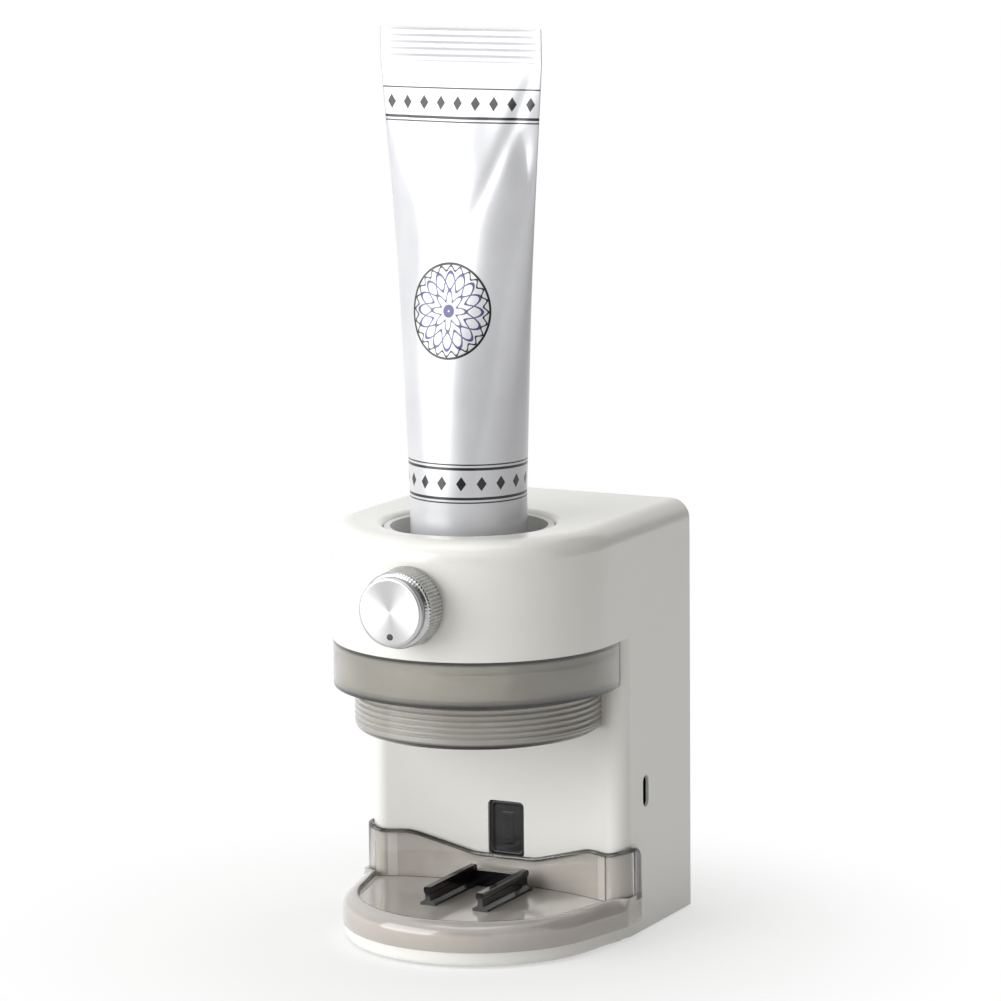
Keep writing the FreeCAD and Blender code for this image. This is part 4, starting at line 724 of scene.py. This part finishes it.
cap_radius = (cap_high.x - cap_low.x) / 2
face_y = cap_low.y
face_radii = np.linspace(0, cap_radius - CAP_CHAMFER, FACE_ROWS)
cap_profile = [(radius, face_y + FACE_DISH * (1 - radius / cap_radius), 0) for radius in face_radii]
cap_profile += [
    (cap_radius - CHAMFER_BREAK, face_y + CAP_CHAMFER - CHAMFER_BREAK, 0),
    (cap_radius, face_y + CAP_CHAMFER, 0),
    (cap_radius, face_y + CAP_LENGTH - CAP_BREAK, 0),
    (cap_radius - CAP_BREAK, face_y + CAP_LENGTH, 0),
    (cap_radius - NECK_INSET, face_y + CAP_LENGTH, 0),
    (cap_radius - NECK_INSET, cap_high.y, 0),
    (0, cap_high.y, 0),
]
spun_aluminium = spun_finish("cap_spun_aluminium", 0.3)
cap_points = turned_surface(cap_profile, CAP_SIDES, knob_centre)
knob_face = grid_piece("knob_face", cap_points, spun_aluminium, "knob", (False, True))
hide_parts("knob_cap")

skirt_radius = (skirt_high.x - skirt_low.x) / 2
stem_radius = (stem_high.x - stem_low.x) / 2
side_shares = np.linspace(0.08, 0.92, SIDE_ROWS)
skirt_length = skirt_high.y - skirt_low.y
skirt_profile = [
    (stem_radius, skirt_low.y, 0),
    (skirt_radius - SKIRT_TAPER - SKIRT_FRONT_BREAK, skirt_low.y, 0),
]
skirt_profile += [
    (
        skirt_radius - SKIRT_TAPER * (1 - share),
        skirt_low.y + skirt_length * share,
        min(1, KNURL_GROWTH * (share - KNURL_START)),
    )
    for share in side_shares
]
skirt_profile += [
    (skirt_radius - SKIRT_REAR_BREAK, skirt_high.y, 0),
    (skirt_radius - SKIRT_WALL, skirt_high.y, 0),
    (skirt_radius - SKIRT_WALL, skirt_low.y + SKIRT_WALL, 0),
    (stem_radius, skirt_low.y + SKIRT_WALL, 0),
]
knurl_aluminium = new_finish("skirt_bright_aluminium", Metallic=1.0)
mottle(knurl_aluminium, (0.42, 0.42, 0.42), (0.58, 0.58, 0.575),
       swell=300.0, rough=(0.16, 0.28), grain=2500.0, depth=0.000006)
skirt_points = turned_surface(
    skirt_profile, KNURL_RIDGES * KNURL_STEPS, knob_centre, KNURL_RIDGES, KNURL_DEPTH)
knob_grip = grid_piece("knob_grip", skirt_points, knurl_aluminium, "knob", (True, True))
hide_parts("knob_skirt")

NECK_GAP = 0.04 * MM
# Painted shade: a thin near-black ring over the cap's neck darkens the groove behind the cap.
neck_profile = [
    (cap_radius - NECK_INSET + NECK_GAP, face_y + CAP_LENGTH + NECK_GAP, 0),
    (cap_radius - NECK_INSET + NECK_GAP, cap_high.y - NECK_GAP, 0),
    (cap_radius - NECK_INSET - NECK_GAP, cap_high.y - NECK_GAP, 0),
    (cap_radius - NECK_INSET - NECK_GAP, face_y + CAP_LENGTH + NECK_GAP, 0),
]
neck_shade_paint = new_finish("neck_painted_groove_shade", IOR=1.5)
mottle(neck_shade_paint, (0.008, 0.008, 0.008), (0.02, 0.02, 0.02),
       swell=500.0, rough=(0.4, 0.6), grain=2500.0, depth=0.000005)
neck_points = turned_surface(neck_profile, NECK_SIDES, knob_centre)
knob_neck = grid_piece("knob_neck", neck_points, neck_shade_paint, "knob", (True, True))

DOT_RADIUS = 1.0 * MM
DOT_RISE = 0.03 * MM
DOT_DEPTH = 0.3 * MM
DOT_OUT = 0.7
dot_centre = (knob_centre[0], knob_centre[1] - DOT_OUT * cap_radius)
dot_shares = np.linspace(0, 1, 10)
dot_profile = [(DOT_RADIUS * share, face_y + DOT_RISE * share**2, 0) for share in dot_shares]
dot_profile += [(DOT_RADIUS, face_y + DOT_DEPTH, 0), (0, face_y + DOT_DEPTH, 0)]
dot_enamel = new_finish("dot_black_enamel", Coat_Weight=0.5)
mottle(dot_enamel, (0.01, 0.01, 0.01), (0.03, 0.03, 0.03),
       swell=900.0, rough=(0.2, 0.35), grain=3000.0, depth=0.000005)
dot_points = turned_surface(dot_profile, DOT_SIDES, dot_centre)
knob_dot = grid_piece("knob_dot", dot_points, dot_enamel, "knob", (False, True))


# Toothpaste tube
# A laminate sleeve, silvery white, rolled round its shoulder and crimped flat at the far end, where it
# creases at the sides. The print is plain ornament: rings, lozenges and a rosette in black and navy.
sleeve_low, sleeve_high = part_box("tube_sleeve")
TUBE_RADIUS = 17.2 * MM
CRIMP_HALF = 26.2 * MM
CRIMP_HEIGHT = 10.0 * MM
CRIMP_HALF_THICK = 0.55 * MM
ROUND_SHARE = 0.12
SLEEVE_LEAN = -1.2 * MM
sleeve_length = sleeve_high.z - sleeve_low.z
AROUND = 320
UP = 170
CRIMP_ROWS = 60
BODY_SHARE = 0.925
CRIMP_SHARE = 0.927
PRESS_SHARE = 0.006
PINCH = 0.9
FOLD_DEPTH = 1.1 * MM
FOLD_FROM = 0.98
FOLD_RUN = 62 * MM
FOLD_WIDTH = 0.10
FOLD_FADE = 30 * MM
DENTS = ((1.4 * MM, 0.86, 0.16, 26 * MM, 9 * MM), (0.8 * MM, -0.8, 0.2, 48 * MM, 16 * MM))
SWELL_HEIGHT = 0.35 * MM
SWELL_LENGTH = 74 * MM
SWELL_FROM = 12 * MM
SWELL_WAVES = 2.3
SWELL_PHASE = 1.1
SIDE_FADE = 1.5 * MM
PRESSED_HEIGHT = 0.14 * MM
PRESSED_PITCH = 1.9 * MM
TEETH_HEIGHT = 0.05 * MM
TEETH_PITCH = 1.1 * MM


def sleeve_surface():
    """Rings of one girth from a circle to a thin lens, then a flat crimp with pressed lines.

    Each ring is an ellipse whose ends are pinched as it flattens, walked in even steps of its length.
    Creases run down from the crimp's corners, soft dents lie on the faces, and the top leans a little to
    the left. A dent is a depth, its place and spread across, and its place and spread below the crimp.
    """
    share = np.concatenate([np.linspace(0, BODY_SHARE, UP), np.linspace(CRIMP_SHARE, 1, CRIMP_ROWS)])
    z = sleeve_low.z + sleeve_length * share
    crimp_from = 1 - CRIMP_HEIGHT / sleeve_length
    flat = np.clip((share - ROUND_SHARE) / (crimp_from - ROUND_SHARE), 0, 1)
    wide = TUBE_RADIUS + (CRIMP_HALF - TUBE_RADIUS) * flat
    deep = TUBE_RADIUS + (CRIMP_HALF_THICK - TUBE_RADIUS) * flat**1.1
    turn = np.linspace(0, 2 * np.pi, 4 * AROUND + 1)
    pinch = 1 + PINCH * flat**2
    x = wide[:, None] * np.sin(turn)[None]
    y = deep[:, None] * np.sign(np.cos(turn))[None] * np.abs(np.cos(turn))[None] ** pinch[:, None]
    step = np.hypot(np.diff(x, axis=1), np.diff(y, axis=1))
    length = np.concatenate([np.zeros((len(z), 1)), np.cumsum(step, axis=1)], axis=1)
    even = np.linspace(0, 1, AROUND, endpoint=False)
    x = np.stack([np.interp(even * total[-1], total, row) for total, row in zip(length, x)])
    y = np.stack([np.interp(even * total[-1], total, row) for total, row in zip(length, y)])
    side = np.where(y < 0, -1.0, 1.0)
    across = x / wide[:, None]
    below = (crimp_from - share)[:, None] * sleeve_length
    fold_line = np.abs(across) - (FOLD_FROM - below / FOLD_RUN)
    fold_fade = np.exp(-below / FOLD_FADE) * (below > 0)
    sunk = -FOLD_DEPTH * np.exp(-(fold_line / FOLD_WIDTH) ** 2) * fold_fade
    for depth, beside, breadth, under, run in DENTS:
        sunk -= depth * np.exp(-((across - beside) / breadth) ** 2 - ((below - under) / run) ** 2)
    swell = SWELL_HEIGHT * np.sin(SWELL_WAVES * np.pi * across + SWELL_PHASE) * (1 - across**2)
    swell *= np.sin(2 * np.pi * below / SWELL_LENGTH)
    middle = np.clip(1 - across**2, 0, 1) ** 0.5
    moved = sunk * middle ** 0.4 + swell * np.clip(below / SWELL_FROM, 0, 1)
    moved *= np.clip(np.abs(y) / SIDE_FADE, 0, 1) * flat[:, None] ** 0.5
    y = y + side * moved
    pressed = np.clip((share - crimp_from) / PRESS_SHARE, 0, 1)[:, None]
    lines = PRESSED_HEIGHT * np.cos(2 * np.pi * (z - sleeve_high.z) / PRESSED_PITCH)[:, None]
    teeth = TEETH_HEIGHT * np.cos(2 * np.pi * x / TEETH_PITCH)
    y = y + side * pressed * (lines + teeth) * np.clip(np.abs(y) / CRIMP_HALF_THICK, 0, 1)
    x = x + SLEEVE_LEAN * (share**1.5)[:, None]
    ring_z = np.broadcast_to(z[:, None], x.shape)
    points = np.stack([x, y, ring_z], axis=-1)
    base = points[:1] * np.array([0, 0, 1])
    seam = points[-1:] * np.array([1, 0, 1])
    return np.concatenate([base, points, seam])


LAMINATE_SHADE = (0.58, 0.585, 0.615)
LAMINATE_SILVER = (0.65, 0.655, 0.675)
LAMINATE_DRIFT = 45.0
LAMINATE_WAVES = 160.0
LAMINATE_RELIEF = 0.05 * MM
INK_NAVY = (0.06, 0.06, 0.17, 1)
INK_BLACK = (0.012, 0.012, 0.016, 1)
PRINT_RINGS = ((17.0, 0.4), (18.2, 0.8), (26.8, 0.8), (28.0, 0.4), (126.0, 0.4), (127.2, 0.8), (135.6, 0.4))
LOZENGE_ROWS = (22.5, 131.4)
LOZENGE_PITCH, LOZENGE_HALF_WIDE, LOZENGE_HALF_TALL = 6.0, 1.5, 2.1
ROSETTE_HEIGHT = 72.0
ROSETTE_RIM = ((13.6, 0.0, 1, 0.7, 0.0), (12.3, 0.7, 24, 0.6, 0.0))
ROSETTE_HEART = (
    (8.6, 2.6, 8, 0.95, 0.0), (8.6, 2.6, 8, 0.95, math.pi),
    (4.4, 1.5, 8, 0.9, 0.0), (1.1, 0.0, 1, 1.6, 0.0),
)


def print_finish():
    """Silvery laminate with its print, drawn in millimetres on the unrolled sleeve.

    Across is the distance from the front's middle and up the height from the shoulder; each mark is the
    set of points whose distance from a line is under half the line's width. A row of petals is a ring
    whose radius swings by a cosine of the angle: size, swing, count, line width and turn.
    """
    material = new_finish("tube_printed_laminate", Metallic=0.2, Coat_Weight=0.2, Coat_Roughness=0.12)
    girth = 2 * np.pi * TUBE_RADIUS / MM
    unrolled = add_node(material, "SeparateXYZ", {"Vector": add_node(material, "UVMap", {}).outputs["UV"]})

    def sums(operation, *values):
        return add_node(material, "Math", dict(enumerate(values)), operation=operation).outputs["Value"]

    across = sums("MULTIPLY", sums("SUBTRACT", unrolled.outputs["X"], 0.5), girth)
    up = sums("MULTIPLY", unrolled.outputs["Y"], sleeve_length / MM)

    def line(distance, width):
        return sums("LESS_THAN", sums("ABSOLUTE", distance), width / 2)

    def either(*marks):
        drawn = marks[0]
        for mark in marks[1:]:
            drawn = sums("MAXIMUM", drawn, mark)
        return drawn

    def ring(height, width):
        return line(sums("SUBTRACT", up, height), width)

    def lozenges(height):
        beside = sums("DIVIDE", sums("PINGPONG", across, LOZENGE_PITCH / 2), LOZENGE_HALF_WIDE)
        above = sums("DIVIDE", sums("ABSOLUTE", sums("SUBTRACT", up, height)), LOZENGE_HALF_TALL)
        return sums("LESS_THAN", sums("ADD", beside, above), 1.0)

    rise = sums("SUBTRACT", up, ROSETTE_HEIGHT)
    radius = sums("SQRT", sums("ADD", sums("MULTIPLY", across, across), sums("MULTIPLY", rise, rise)))
    angle = sums("ARCTAN2", rise, across)

    def petals(size, depth, count, width, turn):
        wave = sums("COSINE", sums("ADD", sums("MULTIPLY", angle, count), turn))
        edge = sums("ADD", sums("MULTIPLY", wave, depth), size)
        return line(sums("SUBTRACT", radius, edge), width)

    black = either(
        *(ring(height, width) for height, width in PRINT_RINGS),
        *(lozenges(height) for height in LOZENGE_ROWS),
        *(petals(*row) for row in ROSETTE_RIM),
    )
    navy = either(*(petals(*row) for row in ROSETTE_HEART))
    place = place_of(material)
    drift = cloud(material, place, LAMINATE_DRIFT)
    bare = shade(material, drift, [(0.3, LAMINATE_SHADE), (0.7, LAMINATE_SILVER)])
    inked = blend(material, black, blend(material, navy, bare, INK_NAVY), INK_BLACK)
    feed(
        material,
        Base_Color=inked,
        Roughness=between(material, drift, 0.24, 0.36),
        Normal=relief(material, cloud(material, place, LAMINATE_WAVES), LAMINATE_RELIEF),
    )
    return material


sleeve_points = sleeve_surface()
tube_foil = grid_piece("tube_foil", sleeve_points, print_finish(), "tube", (False, True))
unrolled_map = tube_foil.data.uv_layers.new(name="unrolled")
rows, columns = sleeve_points.shape[:2]
quad_row, quad_column = np.divmod(np.arange((rows - 1) * columns), columns)
corner_column = quad_column[:, None] + np.array([0, 0, 1, 1])
corner_row = quad_row[:, None] + np.array([0, 1, 1, 0])
height_of_row = (sleeve_points[:, 0, 2] - sleeve_low.z) / sleeve_length
corner_uv = np.stack([corner_column / columns, height_of_row[corner_row]], axis=-1)
unrolled_map.data.foreach_set("uv", corner_uv.astype(np.float32).ravel())
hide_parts("tube_sleeve")
shoulder_plastic = new_finish("shoulder_white_plastic", IOR=1.5)
mottle(shoulder_plastic, (0.76, 0.76, 0.75), (0.83, 0.83, 0.82),
       swell=50.0, rough=(0.35, 0.5), grain=1600.0, depth=0.00002)
wear(shoulder_plastic, "tube_shoulder")


# Floor and light
# A wide white floor that keeps a soft shadow close to the object and fades to plain white further out,
# a broad lamp from the front left, a weaker one from above and an even pale sky. Dark boards out of the
# picture darken the gloss where it would mirror only white.
FLOOR_REACH = 9.0
floor_mesh = bpy.data.meshes.new("floor")
floor_corners = [(-FLOOR_REACH, -FLOOR_REACH, 0), (FLOOR_REACH, -FLOOR_REACH, 0),
                 (FLOOR_REACH, FLOOR_REACH, 0), (-FLOOR_REACH, FLOOR_REACH, 0)]
floor_mesh.from_pydata(floor_corners, [], [(0, 1, 2, 3)])
floor = bpy.data.objects.new("floor", floor_mesh)
bpy.context.scene.collection.objects.link(floor)


def seen_rays(material):
    """1 for rays from the camera, a mirror or glass, and 0 for the rest."""
    path = add_node(material, "LightPath", {}).outputs
    seen = path["Is Camera Ray"]
    for kind in ("Is Glossy Ray", "Is Transmission Ray"):
        seen = add_node(material, "Math", {0: seen, 1: path[kind]}, operation="MAXIMUM").outputs["Value"]
    return seen


SHADOW_CORE = 0.05
SHADOW_REACH = 0.16
SHADOW_GLOW = 0.55
floor_paint = new_finish("floor_white", Base_Color=(0.9, 0.9, 0.9, 1), Roughness=0.9, Specular_IOR_Level=0.0)
floor_mesh.materials.append(floor_paint)
floor_place = add_node(floor_paint, "TexCoord", {}).outputs["Object"]
distance = add_node(floor_paint, "VectorMath", {0: floor_place}, operation="LENGTH").outputs["Value"]
fade = add_node(floor_paint, "MapRange", {
    "Value": distance, "From Min": SHADOW_CORE, "From Max": SHADOW_REACH,
    "To Min": SHADOW_GLOW, "To Max": 1.0,
}, interpolation_type="SMOOTHSTEP").outputs["Result"]
glow_share = add_node(floor_paint, "Math", {0: fade, 1: seen_rays(floor_paint)}, operation="MULTIPLY")
glow = add_node(floor_paint, "Emission", {"Color": (1, 1, 1, 1), "Strength": 1.0})
tree = floor_paint.node_tree
floor_mix = add_node(floor_paint, "MixShader", {
    0: glow_share.outputs["Value"],
    1: tree.nodes["Principled BSDF"].outputs["BSDF"],
    2: glow.outputs["Emission"],
})
tree.links.new(floor_mix.outputs["Shader"], tree.nodes["Material Output"].inputs["Surface"])

SKY_COLOUR = (1.0, 0.99, 0.955, 1)
SKY_STRENGTH = 0.52
world = bpy.data.worlds.new("studio")
world.use_nodes = True
bpy.context.scene.world = world
sky = world.node_tree.nodes["Background"]
sky.inputs["Color"].default_value = SKY_COLOUR
sky.inputs["Strength"].default_value = SKY_STRENGTH
backdrop = add_node(world, "Background", {"Color": (1, 1, 1, 1), "Strength": 1.0})
sky_mix = add_node(world, "MixShader", {
    0: seen_rays(world),
    1: sky.outputs["Background"],
    2: backdrop.outputs["Background"],
})
sky_output = world.node_tree.nodes["World Output"]
world.node_tree.links.new(sky_mix.outputs["Shader"], sky_output.inputs["Surface"])


def facing(azimuth, elevation):
    """Axes of something that looks at the object: back along the line of sight, right and up across it."""
    turn, tilt = math.radians(azimuth), math.radians(elevation)
    back = np.array([math.sin(turn) * math.cos(tilt), -math.cos(turn) * math.cos(tilt), math.sin(tilt)])
    right = np.array([math.cos(turn), math.sin(turn), 0])
    return back, right, np.cross(back, right)


LAMP_TARGET = np.array([0, 0, 0.11])


def soft_lamp(name, watts, size, azimuth, elevation, distance):
    """A rectangular lamp that looks at the middle of the object from an azimuth and elevation in degrees."""
    lamp = bpy.data.lights.new(name, "AREA")
    lamp.shape = "RECTANGLE"
    lamp.size, lamp.size_y = size
    lamp.energy = watts
    holder = bpy.data.objects.new(name, lamp)
    bpy.context.scene.collection.objects.link(holder)
    back, right, up = facing(azimuth, elevation)
    pose = np.eye(4)
    pose[:3, :3] = np.stack([right, up, back], axis=1)
    pose[:3, 3] = LAMP_TARGET + back * distance
    holder.matrix_world = pose.T.tolist()


soft_lamp("key_lamp", 17.5, (1.3, 1.1), azimuth=-38, elevation=15, distance=1.4)
soft_lamp("top_lamp", 3.6, (0.8, 0.8), azimuth=-10, elevation=80, distance=1.2)

CARD_CORNERS = ((-1, -1), (1, -1), (1, 1), (-1, 1))
card_paint = new_finish("card_dark_grey", Base_Color=(0.05, 0.05, 0.048, 1), Roughness=0.9)


def dark_card(name, size, azimuth, elevation, distance):
    """A dark board out of the picture, there only to be mirrored: a rectangle facing the object."""
    back, right, up = facing(azimuth, elevation)
    middle = LAMP_TARGET + back * distance
    corners = [middle + right * x * size[0] / 2 + up * z * size[1] / 2 for x, z in CARD_CORNERS]
    mesh = bpy.data.meshes.new(name)
    mesh.from_pydata(corners, [], [(0, 1, 2, 3)])
    mesh.materials.append(card_paint)
    card = bpy.data.objects.new(name, mesh)
    bpy.context.scene.collection.objects.link(card)
    card.visible_camera = False


dark_card("front_card", (1.3, 1.6), azimuth=18, elevation=8, distance=2.1)
dark_card("right_card", (2.0, 2.4), azimuth=122, elevation=20, distance=1.5)


# Camera
# Placed where the photograph was taken from, with its slight roll; the frame is square.
AZIMUTH, ELEVATION, ROLL = 27.19, 9.46, -0.57
TARGET_RIGHT, TARGET_HEIGHT, CAMERA_DISTANCE = 9.28 * MM, 131.85 * MM, 1318.82 * MM
FOCAL_PIXELS, PICTURE_PIXELS = 4500, 1001
SENSOR = 36.0
roll = math.radians(ROLL)
view_back, level_right, level_up = facing(AZIMUTH, ELEVATION)
view_right = math.cos(roll) * level_right + math.sin(roll) * level_up
view_up = -math.sin(roll) * level_right + math.cos(roll) * level_up
camera_data = bpy.data.cameras.new("camera")
camera_data.sensor_width = SENSOR
camera_data.lens = FOCAL_PIXELS / PICTURE_PIXELS * SENSOR
camera = bpy.data.objects.new("camera", camera_data)
bpy.context.scene.collection.objects.link(camera)
camera_pose = np.eye(4)
camera_pose[:3, :3] = np.stack([view_right, view_up, view_back], axis=1)
target = np.array([0, 0, TARGET_HEIGHT]) + TARGET_RIGHT * level_right
camera_pose[:3, 3] = target + view_back * CAMERA_DISTANCE
camera.matrix_world = camera_pose.T.tolist()
bpy.context.scene.camera = camera
bpy.context.scene.view_settings.view_transform = "Standard"
